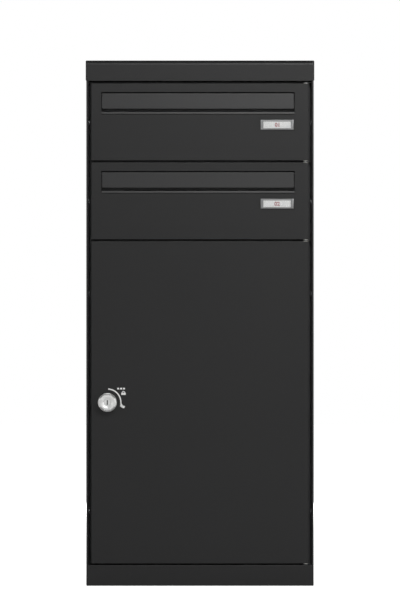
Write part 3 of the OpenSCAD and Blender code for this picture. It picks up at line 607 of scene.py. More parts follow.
class LOCKER_OT_roof_cap(bpy.types.Operator):
    """Folds the roof cap, with its round top edge and its drip hem"""

    bl_idname = "locker.roof_cap"
    bl_label = "Fold Roof Cap"

    def execute(self, context):
        sizes = context.scene.locker_sizes
        low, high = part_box("roof_cap")
        post_in = highest("side_right").x - sizes.post_width
        side_rise, hem, rear_in, rear_rise = 1.5 * MM, 9 * MM, 12 * MM, 6 * MM
        side_low = low.z + side_rise
        bm = bmesh.new()
        add_block(bm, low, high)
        drop_faces(bm, faces_facing(bm, 2, -1) + faces_facing(bm, 1, 1))
        slice_faces(bm, bm.faces[:], 2, (side_low,))
        slice_faces(bm, faces_facing(bm, 1, -1), 0, (-post_in, post_in))
        drop_faces(bm, [f for f in bm.faces if f.calc_center_median().z < side_low
                        and abs(f.calc_center_median().x) > post_in / 2])
        front_fold = edges_along(bm, lambda co: near(co.y, low.y) and near(co.z, high.z))
        round_edges(bm, front_fold, sizes.cap_radius, 9)
        rims = [e for e in edges_along(bm, lambda co: near(abs(co.x), high.x)) if len(e.link_faces) == 2]
        round_edges(bm, [e for e in rims if e.calc_face_angle(0) > 1], sizes.fold_radius, 4)
        foot = [e for e in bm.edges if e.is_boundary and all(near(v.co.z, low.z) for v in e.verts)]
        fold_inwards(bm, foot, (0, hem, 0))
        bmesh.ops.solidify(bm, geom=bm.faces[:], thickness=sizes.cap_sheet)
        rear = lowest("casing_rivets").x + rear_in
        back_face = lowest("back_panel").y
        add_block(bm, (rear, back_face - sizes.cap_sheet, low.z + rear_rise),
                  (-rear, back_face, high.z - sizes.cap_sheet))
        finish_piece("roof_cap_folded", bm, "cabinet", finish("Textured coat"),
                     ("roof_cap",), sizes.cut_radius)
        return {"FINISHED"}


class LOCKER_OT_side_panels(bpy.types.Operator):
    """Folds the two side panels, each with its post and its rear flange"""

    bl_idname = "locker.side_panels"
    bl_label = "Fold Side Panels"

    def execute(self, context):
        sizes = context.scene.locker_sizes
        for name, side in (("left", LEFT), ("right", RIGHT)):
            low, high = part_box(f"side_{name}")
            outer = side * max(abs(low.x), abs(high.x))
            inner = outer - side * (high.x - low.x)
            post = outer - side * sizes.post_width
            outline = [(inner, high.y), (outer, high.y), (outer, low.y), (post, low.y),
                       (post, low.y + sizes.post_return)]
            bm = bmesh.new()
            verts = [bm.verts.new((x, y, low.z)) for x, y in outline]
            strip = [bm.edges.new(pair) for pair in zip(verts, verts[1:])]
            fold_inwards(bm, strip, (0, 0, high.z - low.z))
            folds = [e for e in bm.edges if len(e.link_faces) == 2]
            front = [e for e in folds if all(near(v.co.y, low.y) for v in e.verts)]
            round_edges(bm, [e for e in folds if e not in front], sizes.fold_radius, 5)
            front = edges_along(bm, lambda co: near(co.y, low.y))
            round_edges(bm, [e for e in front if len(e.link_faces) == 2], sizes.post_radius, 4)
            bmesh.ops.recalc_face_normals(bm, faces=bm.faces[:])
            wall = max(bm.faces, key=lambda face: face.calc_area())
            if wall.normal.x * side < 0:
                bmesh.ops.reverse_faces(bm, faces=bm.faces[:])
            bmesh.ops.solidify(bm, geom=bm.faces[:], thickness=sizes.sheet)
            finish_piece(f"side_{name}_folded", bm, "cabinet", finish("Textured coat"),
                         (f"side_{name}",), sizes.cut_radius)
        return {"FINISHED"}


class LOCKER_OT_plinth(bpy.types.Operator):
    """Folds the plinth tray, with its top flange and its floor holes"""

    bl_idname = "locker.plinth"
    bl_label = "Fold Plinth"

    def execute(self, context):
        sizes = context.scene.locker_sizes
        low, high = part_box("plinth")
        sheet, rim_radius, flange = sizes.sheet, 0.8 * MM, 25 * MM
        mounts = {mount["name"]: mount["dims"] for mount in frame["record"]["mounts"]}
        anchors = mounts["floor_anchors"]
        bm = bmesh.new()
        add_block(bm, low, high)
        round_edges(bm, [e for e in bm.edges if near(e.verts[0].co.x, e.verts[1].co.x)
                         and near(e.verts[0].co.y, e.verts[1].co.y)], sizes.fold_radius, 4)
        round_edges(bm, edges_along(bm, lambda co: near(co.z, low.z)), sizes.foot_radius, 6)
        round_edges(bm, edges_along(bm, lambda co: near(co.z, high.z)), rim_radius, 3)
        wall = Vector((sheet, sheet, sheet))
        inner = add_block(bm, low + wall, high - wall)
        bmesh.ops.reverse_faces(bm, faces=inner)
        spans = [(0, low.x + flange, high.x - flange), (1, low.y + flange, high.y - flange)]
        pierce_window(bm, Vector((0, 0, high.z)), 2, -sheet, spans)
        for x in (LEFT, RIGHT):
            for y in (LEFT, RIGHT):
                place = Vector((x * anchors["spacing_x_mm"], y * anchors["spacing_y_mm"], 0)) * MM / 2
                place.z = low.z
                pierce_hole(bm, place, 2, sheet, anchors["hole_r_mm"] * MM)
        finish_piece("plinth_folded", bm, "cabinet", finish("Textured coat"),
                     ("plinth",), sizes.cut_radius)
        return {"FINISHED"}


# ---------------------------------------------------------------- doors

def door_tray(sizes, low, high):
    """A door's folded tray, with a lip down each side of its back."""
    sheet, lip_gap, corner_radius = sizes.sheet, 0.4 * MM, 1.0 * MM
    centre = (low.z + high.z) / 2
    bm = bmesh.new()
    add_block(bm, low, high)
    back = face_at(bm, Vector((0, high.y, centre)), 1)
    bmesh.ops.inset_region(bm, faces=[back], thickness=sheet, use_even_offset=True)
    sink_face(bm, back, (0, low.y + sheet - high.y, 0))
    for side, wall in ((LEFT, low.x + sheet), (RIGHT, high.x - sheet)):
        spans = [(1, high.y - sheet, high.y + sheet), (2, low.z + sheet + lip_gap, high.z - sheet - lip_gap)]
        strip = cut_patch(bm, Vector((wall, high.y - sheet / 2, centre)), 0, spans)
        sink_face(bm, strip, (-side * (sizes.lip_width - sheet), 0, 0))
    corners = edges_along(bm, lambda co: near(abs(co.x), high.x) and (near(co.z, low.z) or near(co.z, high.z)))
    round_edges(bm, [e for e in corners if not near(e.verts[0].co.y, e.verts[1].co.y)], corner_radius, 3)
    round_edges(bm, edges_along(bm, lambda co: near(co.y, low.y)), sizes.door_radius, 4)
    return bm


BUSH_HOLE = 3.07 * MM


def pierce_pivots(sizes, bm, low, high, bushes):
    """Pierces the two holes for a door's bushes."""
    centre = middle(bushes)
    for z, depth in ((low.z, sizes.sheet), (high.z, -sizes.sheet)):
        pierce_hole(bm, Vector((centre.x, centre.y, z)), 2, depth, BUSH_HOLE, 16)


class LOCKER_OT_parcel_door(bpy.types.Operator):
    """Folds the parcel door and opens it for its lock"""

    bl_idname = "locker.parcel_door"
    bl_label = "Fold Parcel Door"

    def execute(self, context):
        sizes = context.scene.locker_sizes
        low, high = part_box("parcel_door")
        bm = door_tray(sizes, low, high)
        lock = middle("lock_barrel")
        radius = highest("lock_barrel").x - lock.x
        pierce_hole(bm, Vector((lock.x, low.y, lock.z)), 1, sizes.sheet, radius, 32)
        pierce_pivots(sizes, bm, low, high, "parcel_door_bushes")
        finish_piece("parcel_door_folded", bm, "parcel_leaf", finish("Textured coat"),
                     ("parcel_door",), sizes.cut_radius)
        return {"FINISHED"}


def slot_limits(sizes, level):
    """The letter slot's left, right, lower and upper edges."""
    low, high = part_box(f"letter_flap_{level}")
    top = high.z + sizes.flap_gap
    return low.x - sizes.flap_gap, high.x + sizes.flap_gap, top - sizes.slot_height, top


# The pressed lip's outline: millimetres behind the door's face, and shares of the lip's height down from its top
LIP_OUTLINE = ((0.1, 0.0), (-1.15, 0.0), (-1.76, 0.72), (-1.1, 1.0), (0.1, 1.0))


def pressed_lip(bm, left, right, top, height):
    """The lip pressed out under a slot: a face that looks slightly up, over a short slanted return."""
    verts = [bm.verts.new((left, FRONT + y * MM, top - z * height)) for y, z in LIP_OUTLINE]
    end = bm.faces.new(verts)
    made = bmesh.ops.extrude_face_region(bm, geom=[end], use_keep_orig=True)["geom"]
    moved = verts_in(made)
    bmesh.ops.translate(bm, verts=moved, vec=(right - left, 0, 0))
    shell = dict.fromkeys(face for vert in moved + verts for face in vert.link_faces)
    bmesh.ops.recalc_face_normals(bm, faces=list(shell))


class LOCKER_OT_letter_doors(bpy.types.Operator):
    """Folds the letter doors, each with its slot and the pressed lip under it"""

    bl_idname = "locker.letter_doors"
    bl_label = "Fold Letter Doors"

    def execute(self, context):
        sizes = context.scene.locker_sizes
        for level in LEVELS:
            end_gap = 0.5 * MM
            low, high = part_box(f"mail_door_{level}")
            low.y = FRONT
            left, right, bottom, top = slot_limits(sizes, level)
            bm = door_tray(sizes, low, high)
            spans = [(0, left, right), (2, bottom, top)]
            pierce_window(bm, Vector((0, low.y, (bottom + top) / 2)), 1, sizes.sheet, spans)
            pierce_pivots(sizes, bm, low, high, f"mail_door_bushes_{level}")
            pressed_lip(bm, left + end_gap, right - end_gap, bottom, sizes.lip_height)
            finish_piece(f"mail_door_{level}_folded", bm, f"{level}_leaf",
                         finish("Textured coat"), (f"mail_door_{level}",), sizes.cut_radius)
        return {"FINISHED"}


def bend(bm, vert, centre, angle, steps):
    """Carries a strip's outline on round a bend. Returns its new last point."""
    return verts_in(sweep(bm, [vert], centre, (1, 0, 0), radians(angle), steps))[0]


def draw_on(bm, vert, move):
    """Carries a strip's outline on in a straight line. Returns its new last point."""
    last = bmesh.ops.extrude_vert_indiv(bm, verts=[vert])["verts"][0]
    last.co += Vector(move)
    return last


# Where a flap's curl starts and how far it runs round the rod, in degrees
CURL_START, CURL_TURN = -50, 140


class LOCKER_OT_letter_flaps(bpy.types.Operator):
    """Rolls the letter flaps: a curl round the rod, the plate and the hem under it"""

    bl_idname = "locker.letter_flaps"
    bl_label = "Roll Letter Flaps"

    def execute(self, context):
        sizes = context.scene.locker_sizes
        for level in LEVELS:
            low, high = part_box(f"letter_flap_{level}")
            rod = middle(f"flap_rod_{level}")
            rod.x = low.x
            curl = high.z - rod.z
            crown, foot, foot_rise = 1.3 * MM, 0.6 * MM, 0.24 * MM
            length = (rod.z - low.z - foot_rise) / cos(sizes.flap_lean)
            bm = bmesh.new()
            start = radians(CURL_START)
            end = bm.verts.new(rod + Vector((0, cos(start) * curl, sin(start) * curl)))
            bend(bm, end, rod, CURL_TURN, 14)
            crest = draw_on(bm, max(bm.verts, key=lambda vert: vert.co.z), (0, crown - curl, 0))
            tip = bend(bm, crest, crest.co - Vector((0, 0, crown)), 90, 5)
            tip = draw_on(bm, tip, (0, 0, rod.z - length + foot - tip.co.z))
            tip = bend(bm, tip, tip.co + Vector((0, foot, 0)), 90, 4)
            tip = draw_on(bm, tip, (0, sizes.hem_depth - 2 * foot, 0))
            tip = bend(bm, tip, tip.co - Vector((0, 0, foot)), -90, 4)
            draw_on(bm, tip, (0, 0, -sizes.pull_drop))
            lean = Matrix.Rotation(-sizes.flap_lean, 3, "X")
            bmesh.ops.rotate(bm, verts=bm.verts[:], cent=rod, matrix=lean)
            fold_inwards(bm, bm.edges[:], (high.x - low.x, 0, 0))
            bmesh.ops.recalc_face_normals(bm, faces=bm.faces[:])
            plate_face = max(bm.faces, key=lambda face: face.calc_area())
            if plate_face.normal.y > 0:
                bmesh.ops.reverse_faces(bm, faces=bm.faces[:])
            bmesh.ops.solidify(bm, geom=bm.faces[:], thickness=sizes.flap_sheet)
            finish_piece(f"letter_flap_{level}_rolled", bm, f"{level}_flap",
                         finish("Flap coat with painted light"), (f"letter_flap_{level}",), sizes.cut_radius)
        return {"FINISHED"}


# ---------------------------------------------------------------- name plates

SIZE_PER_HEIGHT = 1.4
PRINT_RELIEF, STROKE_GROWTH = 0.02 * MM, 0.35 * MM
NUMERAL_HEIGHT = 6.6 * MM
PLATE_GROOVE_IN, PLATE_GROOVE_HALF, PLATE_GROOVE_DEPTH = 3.4 * MM, 0.75 * MM, 1.3 * MM
PLATE_GROOVE_END = 1.2 * MM
STUD_RADIUS = 1.5 * MM


def numeral_mesh(name, text, height, centre):
    """A flat printed numeral that faces the front, centred on a place, as a mesh under work."""
    curve = bpy.data.curves.new(name, "FONT")
    curve.body = text
    curve.size = height * SIZE_PER_HEIGHT
    curve.align_x = "CENTER"
    curve.align_y = "CENTER"
    curve.extrude = PRINT_RELIEF
    curve.offset = STROKE_GROWTH
    shape = bpy.data.objects.new(name, curve)
    bpy.context.scene.collection.objects.link(shape)
    bpy.context.view_layer.update()
    mesh = bpy.data.meshes.new_from_object(shape)
    bpy.data.objects.remove(shape)
    bm = bmesh.new()
    bm.from_mesh(mesh)
    bpy.data.meshes.remove(mesh)
    bmesh.ops.remove_doubles(bm, verts=bm.verts[:], dist=0.001 * MM)
    low = Vector([min(v.co[i] for v in bm.verts) for i in range(3)])
    high = Vector([max(v.co[i] for v in bm.verts) for i in range(3)])
    bmesh.ops.translate(bm, verts=bm.verts[:], vec=-(low + high) / 2)
    bmesh.ops.rotate(bm, verts=bm.verts[:], matrix=Matrix.Rotation(pi / 2, 3, "X"))
    bmesh.ops.translate(bm, verts=bm.verts[:], vec=centre)
    return bm


class LOCKER_OT_name_plates(bpy.types.Operator):
    """Makes the name plates: frame, label, printed number and window"""

    bl_idname = "locker.name_plates"
    bl_label = "Make Name Plates"

    def execute(self, context):
        for number, level in enumerate(LEVELS, start=1):
            body = f"{level}_leaf"
            low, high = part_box(f"name_frame_{level}")
            label_low, label_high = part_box(f"name_label_{level}")
            high.y = FRONT
            centre = (low + high) / 2
            well = label_high - centre + Vector((0.1 * MM, 0, 0.1 * MM))
            half = (high - low) / 2
            bm = bmesh.new()
            add_block(bm, low, high)
            round_edges(bm, edges_along(bm, lambda co: near(co.y, low.y)), 0.7 * MM, 3)
            front = Vector((centre.x, low.y, centre.z))
            for side in (LEFT, RIGHT):
                place = front + Vector((side * (half.x - PLATE_GROOVE_IN), 0, 0))
                spans = [(0, place.x - PLATE_GROOVE_HALF, place.x + PLATE_GROOVE_HALF),
                         (2, low.z + PLATE_GROOVE_END, high.z - PLATE_GROOVE_END)]
                sink_face(bm, cut_patch(bm, place, 1, spans), (0, PLATE_GROOVE_DEPTH, 0))
            spans = [(0, centre.x - well.x, centre.x + well.x), (2, centre.z - well.z, centre.z + well.z)]
            sink_face(bm, cut_patch(bm, front, 1, spans), (0, label_high.y - low.y, 0))
            for side in (LEFT, RIGHT):
                stud = Vector((centre.x + side * half.x * 2 / 3, FRONT - 0.1 * MM, centre.z))
                add_bar(bm, stud, (stud.x, highest(f"name_frame_{level}").y, stud.z), STUD_RADIUS, 16)
            finish_piece(f"name_frame_{level}_milled", bm, body, finish("Satin aluminium"),
                         (f"name_frame_{level}",), 0.15 * MM)

            bm = bmesh.new()
            add_block(bm, label_low, label_high)
            upright = [e for e in bm.edges if not near(e.verts[0].co.y, e.verts[1].co.y)]
            round_edges(bm, upright, 0.6 * MM, 3)
            finish_piece(f"name_label_{level}_card", bm, body, finish("Label card"),
                         (f"name_label_{level}",))

            spot = Vector((centre.x, label_low.y - 0.03 * MM, centre.z))
            bm = numeral_mesh(f"numeral_{level}", f"0{number}", NUMERAL_HEIGHT, spot)
            finish_piece(f"name_numeral_{level}", bm, body, finish("Numeral print"))

            window_low, window_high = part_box(f"name_window_{level}")
            window_high.y = label_low.y - 0.08 * MM
            bm = bmesh.new()
            add_block(bm, window_low, window_high)
            round_edges(bm, edges_along(bm, lambda co: near(co.y, window_low.y)), 0.25 * MM, 2)
            finish_piece(f"name_window_{level}_acrylic", bm, body, finish("Clear acrylic"),
                         (f"name_window_{level}",))
        return {"FINISHED"}


# ---------------------------------------------------------------- parcel lock

# Angles in degrees from the knob's top, lengths in millimetres
GRIP_START, GRIP_END, FLAT_FADE = 19, 64, 2.5
GROOVE_HALF, GROOVE_CUT, FLAT_CUT = 4.2, 0.85, 1.3
KNOB_RIM, KNOB_SHOULDER, BORE_GAP = 16.0, 3.4, 0.12
CUT_FADE, CUT_START = 2, 0.4
# SHADE_REACH, SHADE_FROM and SHADE_TO pick the groove faces that get painted shade
NOTCH_REACH, NOTCH_SLOPE, SHADE_REACH = 4, 2.4, 5.5
SHADE_FROM, SHADE_TO = 0.6, 0.95
ROSE_INSET, ROSE_BORE = 1.3 * MM, 10.05 * MM


def rim_cut(angle, grooves):
    """How far, in mm, the knob's rim is cut back at an angle in degrees from the top."""
    folded = abs((angle + 180) % 360 - 180)
    folded = min(folded, 180 - folded)
    flat = FLAT_CUT * max(0.0, min(1.0, (GRIP_START - folded) / FLAT_FADE))
    step = (GRIP_END - GRIP_START) / (grooves + 1)
    offset = min(abs(folded - GRIP_START - i * step) for i in range(1, grooves + 1))
    groove = GROOVE_CUT * (0.5 + 0.5 * cos(pi * offset / GROOVE_HALF)) if offset < GROOVE_HALF else 0.0
    return max(flat, groove)


class LOCKER_OT_knob(bpy.types.Operator):
    """Turns the knob with its four grips and dished face, and the rose behind it"""

    bl_idname = "locker.knob"
    bl_label = "Turn Knob"

    def execute(self, context):
        sizes = context.scene.locker_sizes
        low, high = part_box("lock_knob")
        centre = middle("lock_knob")
        centre.y = high.y
        rim, shoulder = KNOB_RIM, KNOB_RIM - KNOB_SHOULDER
        bore = (highest("lock_plug").x - lowest("lock_plug").x) / 2 / MM + BORE_GAP
        top = (high.y - low.y) / MM
        outline = [(bore, 0), (rim - 0.7, 0), (rim - 0.2, 0.2), (rim, 0.7), (rim, 2.5), (rim, 6), (rim, top - 3.6),
                   (rim - 0.25, top - 2.4), (rim - 0.8, top - 1.4), (rim - 1.6, top - 0.6), (rim - 2.6, top - 0.1),
                   (rim - 3.2, top), (10.2, top), (9.6, top - 0.12), (9.0, top - 0.35), (6.6, top - 1.35),
                   (6.3, top - 1.5), (6.3, top - 8), (bore, top - 8)]
        bm = bmesh.new()
        add_turned(bm, [(r * MM, h * MM) for r, h in outline], centre, 240)
        for vert in bm.verts:
            arm = Vector((vert.co.x - centre.x, 0, vert.co.z - centre.z))
            reach = arm.length / MM
            height = (centre.y - vert.co.y) / MM
            if reach > shoulder and height > CUT_START:
                angle = degrees(atan2(arm.x, arm.z))
                cut = rim_cut(angle, sizes.grip_grooves)
                cut *= min(1.0, (reach - rim + KNOB_SHOULDER) / CUT_FADE)
                vert.co -= arm.normalized() * cut * MM
                if top - NOTCH_REACH < height and cut < SHADE_TO:
                    vert.co.y += NOTCH_SLOPE * cut * MM
        # Faces down in the grip grooves get the second material: a painted shade
        for face in bm.faces:
            arm = face.calc_center_median() - centre
            cut = rim_cut(degrees(atan2(arm.x, arm.z)), sizes.grip_grooves)
            at_rim = Vector((arm.x, arm.z)).length / MM > shoulder and -arm.y / MM > top - SHADE_REACH
            if at_rim and SHADE_FROM < cut < SHADE_TO:
                face.material_index = 1
        finish_piece("lock_knob_turned", bm, "lock_turner", finish("Satin nickel"),
                     ("lock_knob",), smooth=40, second=finish("Groove painted shade"))

        low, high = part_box("lock_rose")
        centre = middle("lock_rose")
        centre.y = high.y
        edge = (high.x - low.x) / 2 - ROSE_INSET
        thick = high.y - low.y
        bm = bmesh.new()
        add_turned(bm, [(ROSE_BORE, 0), (edge, 0), (edge, thick * 0.5), (edge - 0.3 * MM, thick * 0.85),
                        (edge - 0.9 * MM, thick), (ROSE_BORE, thick)], centre, 96)
        finish_piece("lock_rose_turned", bm, "parcel_leaf", finish("Satin nickel"),
                     ("lock_rose",))
        return {"FINISHED"}


PLUG_EASE, KEYWAY_DEPTH, PLUG_CUT = 0.45 * MM, 4 * MM, 0.12 * MM
STUD_OVERLAP, CAM_STUD_RADIUS = 0.1 * MM, 3 * MM


def key_plug(bm, centre, radius, face, back, half_width, half_height):
    """A round plug along Y with an eased rim and a straight keyway, whose walls carry painted shade."""
    add_bar(bm, (centre.x, back, centre.z), (centre.x, face, centre.z), radius, 64)
    round_edges(bm, edges_along(bm, lambda co: near(co.y, face)), PLUG_EASE, 3)
    keyway = cut_patch(bm, Vector((centre.x, face, centre.z)), 1,
                       [(0, centre.x - half_width, centre.x + half_width),
                        (2, centre.z - half_height, centre.z + half_height)])
    sink_face(bm, keyway, (0, KEYWAY_DEPTH, 0))
    # The keyway's walls get the second material: a painted shade, darker than the plug
    for wall in bm.faces:
        at = wall.calc_center_median()
        inside = abs(at.x - centre.x) < half_width + TOUCH and abs(at.z - centre.z) < half_height + TOUCH
        if inside and face + TOUCH < at.y < back - TOUCH:
            wall.material_index = 1


class LOCKER_OT_key_plugs(bpy.types.Operator):
    """Makes the key plugs of the parcel lock and of the two hidden letter locks"""

    bl_idname = "locker.key_plugs"
    bl_label = "Make Key Plugs"

    def execute(self, context):
        low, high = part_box("lock_plug")
        bm = bmesh.new()
        key_plug(bm, middle("lock_plug"), (high.x - low.x) / 2, low.y, high.y, 0.9 * MM, 4 * MM)
        finish_piece("lock_plug_keyed", bm, "key_plug", finish("Satin nickel"),
                     ("lock_plug",), PLUG_CUT, second=finish("Keyway painted shade"))
        for level in LEVELS:
            node = f"mail_lock_plug_{level}"
            low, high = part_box(node)
            centre = middle(node)
            stud_start = lowest(f"mail_lock_cam_{level}").y - 0.3 * MM
            bm = bmesh.new()
            key_plug(bm, centre, (high.x - low.x) / 2, low.y, stud_start, 0.8 * MM, 3.6 * MM)
            stud = Vector((centre.x, stud_start - STUD_OVERLAP, centre.z))
            add_bar(bm, stud, (centre.x, high.y, centre.z), CAM_STUD_RADIUS, 24)
            finish_piece(f"{node}_keyed", bm, f"{level}_lock",
                         finish(f"Lock nickel {level}"), (node,), PLUG_CUT, second=finish("Keyway painted shade"))
        return {"FINISHED"}


ARC_INSET, PRINT_THICKNESS = 2.1 * MM, 0.1 * MM
# The arc's turn in degrees, then lengths in millimetres, the arrowhead's from where the arc starts
ARC_TURN = -87
ARROWHEAD = ((-1.05, 0), (1.05, 0), (1.3, -1.5), (1.9, -3.2), (3, -4.8), (5, -5.9), (7.3, -6.4), (5.2, -10.2),
             (1.6, -8.8), (-1.4, -6.7), (-0.7, -3.4))
SIGN_RIGHT, SIGN_UP, SIGN_WIDTH, SIGN_TALL = 4.4, 12.6, 7.4, 3.9
BOW_INNER, BOW_OUTER = 1.7, 2.8
SQUARES_LEFT, SQUARES_DROP, SQUARES_PITCH, SQUARE_WIDTH, SQUARE_TALL = 9.0, 0.1, 5.0, 3.4, 2.8


class LOCKER_OT_turning_mark(bpy.types.Operator):
    """Prints the turning arrow, the padlock sign and the three marks beside the knob"""

    bl_idname = "locker.turning_mark"
    bl_label = "Print Turning Mark"

    def execute(self, context):
        sizes = context.scene.locker_sizes
        centre = middle("lock_knob")
        centre.y = FRONT
        high = highest("lock_mark")
        radius = high.z - centre.z - ARC_INSET
        arm = radius / MM
        bm = bmesh.new()

        def spot(x, z):
            return bm.verts.new((centre.x + x, FRONT, centre.z + z))

        def sheet(points):
            bm.faces.new([spot(x * MM, z * MM) for x, z in points])

        def panel(x, z, width, tall):
            left, right = x - width / 2, x + width / 2
            sheet([(left, z), (right, z), (right, z + tall), (left, z + tall)])

        half = sizes.mark_width / 2
        start = bm.edges.new((spot(radius - half, 0), spot(radius + half, 0)))
        sweep(bm, [*start.verts, start], centre, (0, 1, 0), radians(ARC_TURN), 40)
        sheet([(arm + x, z) for x, z in ARROWHEAD])

        sign, bow_z = arm + SIGN_RIGHT, SIGN_UP + SIGN_TALL
        panel(sign, SIGN_UP, SIGN_WIDTH, SIGN_TALL)
        bow = Vector((centre.x + sign * MM, FRONT, centre.z + bow_z * MM))
        arch = bm.edges.new([spot((sign + reach) * MM, bow_z * MM) for reach in (BOW_INNER, BOW_OUTER)])
        sweep(bm, [*arch.verts, arch], bow, (0, 1, 0), -pi, 18)
        squares = (high.z - centre.z) / MM - SQUARES_DROP - SQUARE_TALL
        for step in range(3):
            panel(sign - SQUARES_LEFT + SQUARES_PITCH * step, squares, SQUARE_WIDTH, SQUARE_TALL)
        bmesh.ops.remove_doubles(bm, verts=bm.verts[:], dist=0.001 * MM)
        bmesh.ops.recalc_face_normals(bm, faces=bm.faces[:])
        turned = [f for f in bm.faces if f.normal.y > 0]
        bmesh.ops.reverse_faces(bm, faces=turned)
        bmesh.ops.translate(bm, verts=bm.verts[:], vec=(0, -PRINT_THICKNESS, 0))
        bmesh.ops.solidify(bm, geom=bm.faces[:], thickness=PRINT_THICKNESS)
        finish_piece("turning_mark_print", bm, "parcel_leaf", finish("White print"),
                     ("lock_mark",))
        return {"FINISHED"}


# ---------------------------------------------------------------- carried-over metalwork

def both(*stems):
    """The names of parts that the two letter doors each have"""
    return tuple(f"{stem}_{level}" for stem in stems for level in LEVELS)


KEPT = {
    "Inner coat": ("roof_plate", "parcel_box_sides", "parcel_box_ends", "parcel_box_faces", "door_stiffener",
                   "pivot_lugs", *both("mail_box", "slot_liner", "flap_brackets")),
    "Textured coat": ("back_panel", "casing_rivets"),
    "Zinc plate": ("box_spacers", "lock_barrel", "lock_nut", "lock_cam", "lock_spindle",
                   *both("mail_lock_nut", "mail_lock_cam")),
    "Bright zinc": ("pivot_pins", "box_screws", "cap_screws", "lock_cam_nut", *both("mail_lock_cam_nut")),
    "Blackened steel": both("flap_rod"),
    "Black rubber": ("box_buffers", *both("flap_buffers")),
    "Natural nylon": ("parcel_door_bushes", *both("mail_door_bushes")),
    "Lock nickel upper": ("mail_lock_barrel_upper",),
    "Lock nickel lower": ("mail_lock_barrel_lower",),
}


class LOCKER_OT_kept_metalwork(bpy.types.Operator):
    """Gives every carried-over part its finish"""

    bl_idname = "locker.kept_metalwork"
    bl_label = "Finish Kept Metalwork"

    def execute(self, context):
        for material, nodes in KEPT.items():
            for node in nodes:
                mesh = frame["nodes"][node].data
                mesh.materials.clear()
                mesh.materials.append(finish(material))
        return {"FINISHED"}


# ---------------------------------------------------------------- stage

# Each light's name, place, width, height and power, and where it aims: to the side and as a share of the height
LIGHTS = (("Key light", (0.65, -2.6, 1.98), 1.5, 0.5, 34, 0.05, 0.75),
          ("Front light", (0.5, -5.4, 1.05), 0.5, 1.0, 6, 0, 0.55),
          ("Left fill", (-2.6, -1.7, 1.0), 0.8, 1.2, 17, 0, 0.5),
          ("Right fill", (2.6, -1.7, 1.0), 0.8, 1.2, 20, 0, 0.5),
          ("Rear light", (0, 2.8, 0.5), 0.4, 0.8, 26, 0, 0.5))
BACKDROP, AMBIENT = 1.0, 0.14
FLOOR_LIFT, FLOOR_RADIUS = 0.9, 9.0
LENS, SENSOR = 250, 36
VIEW_HEIGHT, VIEW_CENTRE, VIEW_END = 1.0182, 0.4852, 60


def soft_light(name, place, width, height, watts, target):
    """A rectangular soft light that faces its target and stays out of sight."""
    light = bpy.data.lights.new(name, "AREA")
    light.shape = "RECTANGLE"
    light.size = width
    light.size_y = height
    light.energy = watts
    lamp = bpy.data.objects.new(name, light)
    lamp.location = place
    lamp.rotation_euler = (Vector(target) - Vector(place)).to_track_quat("-Z", "Y").to_euler()
    lamp.visible_camera = False
    bpy.context.scene.collection.objects.link(lamp)


def studio_world():
    """A white backdrop to the eye that lights the stage only weakly."""
    world = bpy.data.worlds.new("Studio")
    world.use_nodes = True
    tree = world.node_tree
    backdrop = tree.nodes["Background"]
    backdrop.inputs["Color"].default_value = (1, 1, 1, 1)
    path = tree.nodes.new("ShaderNodeLightPath")
    level = tree.nodes.new("ShaderNodeMapRange")
    level.inputs["To Min"].default_value = AMBIENT
    level.inputs["To Max"].default_value = BACKDROP
    link(tree, path.outputs["Is Camera Ray"], level.inputs["Value"])
    link(tree, level.outputs["Result"], backdrop.inputs["Strength"])
    return world


def pale_floor():
    """A round pale floor that looks as bright as the backdrop."""
    bm = bmesh.new()
    bmesh.ops.create_circle(bm, cap_ends=True, segments=96, radius=FLOOR_RADIUS)
    mesh = bpy.data.meshes.new("floor")
    bm.to_mesh(mesh)
    bm.free()
    material, shader = start_material("Pale floor", 0.9)
    tree = material.node_tree
    texture = group_node(material, "Coat texture", grain=40.0)
    drive_colour(material, shader, texture.outputs["Mottle"], (0.90, 0.90, 0.90), (0.94, 0.94, 0.94))
    shader.inputs["Emission Color"].default_value = (1, 1, 1, 1)
    path = tree.nodes.new("ShaderNodeLightPath")
    lift = add_math(tree, "MULTIPLY", path.outputs["Is Camera Ray"], FLOOR_LIFT)
    link(tree, lift, shader.inputs["Emission Strength"])
    mesh.materials.append(material)
    return bpy.data.objects.new("floor", mesh)


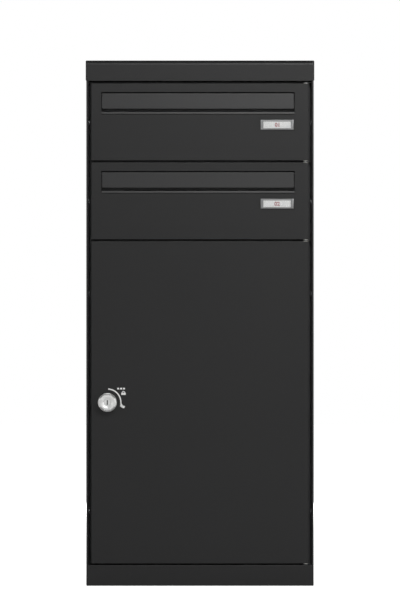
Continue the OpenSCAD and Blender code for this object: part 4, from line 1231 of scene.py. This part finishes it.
class LOCKER_OT_stage(bpy.types.Operator):
    """Sets the floor, the soft lights, the background and the camera"""

    bl_idname = "locker.stage"
    bl_label = "Set Stage"

    def execute(self, context):
        scene = context.scene
        scene.view_settings.view_transform = "Standard"
        floor = pale_floor()
        scene.collection.objects.link(floor)
        scene.world = studio_world()

        for name, place, width, height, watts, aside, share in LIGHTS:
            soft_light(name, place, width, height, watts, (aside, 0, share * CAD_BOX[1].z))

        camera = bpy.data.cameras.new("Camera")
        camera.lens = LENS
        camera.sensor_width = SENSOR
        camera.clip_end = VIEW_END
        view = bpy.data.objects.new("Camera", camera)
        scene.collection.objects.link(view)
        distance = VIEW_HEIGHT * LENS / SENSOR
        view.location = (0, FRONT - distance, VIEW_CENTRE)
        view.rotation_euler = (pi / 2, 0, 0)
        scene.camera = view
        return {"FINISHED"}


# ---------------------------------------------------------------- add-on

class LOCKER_PT_panel(bpy.types.Panel):
    """Lists the locker's pieces, sizes and colours"""

    bl_idname = "LOCKER_PT_panel"
    bl_label = "Parcel Locker"
    bl_space_type = "VIEW_3D"
    bl_region_type = "UI"
    bl_category = "Locker"

    def draw(self, context):
        layout = self.layout
        for step in STEPS:
            layout.operator(step.bl_idname)
        for group in (context.scene.locker_sizes, context.scene.locker_finishes):
            column = layout.column(align=True)
            for name in group.bl_rna.properties.keys():
                if name not in ("rna_type", "name"):
                    column.prop(group, name)


STEPS = (LOCKER_OT_finishes, LOCKER_OT_roof_cap, LOCKER_OT_side_panels, LOCKER_OT_plinth, LOCKER_OT_parcel_door,
         LOCKER_OT_letter_doors, LOCKER_OT_letter_flaps, LOCKER_OT_name_plates, LOCKER_OT_knob,
         LOCKER_OT_key_plugs, LOCKER_OT_turning_mark, LOCKER_OT_kept_metalwork, LOCKER_OT_stage)
CLASSES = (LockerSizes, LockerFinishes, *STEPS, LOCKER_PT_panel)


def register():
    for cls in CLASSES:
        bpy.utils.register_class(cls)
    bpy.types.Scene.locker_sizes = PointerProperty(type=LockerSizes)
    bpy.types.Scene.locker_finishes = PointerProperty(type=LockerFinishes)


def unregister():
    del bpy.types.Scene.locker_finishes
    del bpy.types.Scene.locker_sizes
    for cls in reversed(CLASSES):
        bpy.utils.unregister_class(cls)


def main():
    register()
    for step in STEPS:
        family, name = step.bl_idname.split(".")
        getattr(getattr(bpy.ops, family), name)()


if __name__ == "__main__":
    main()
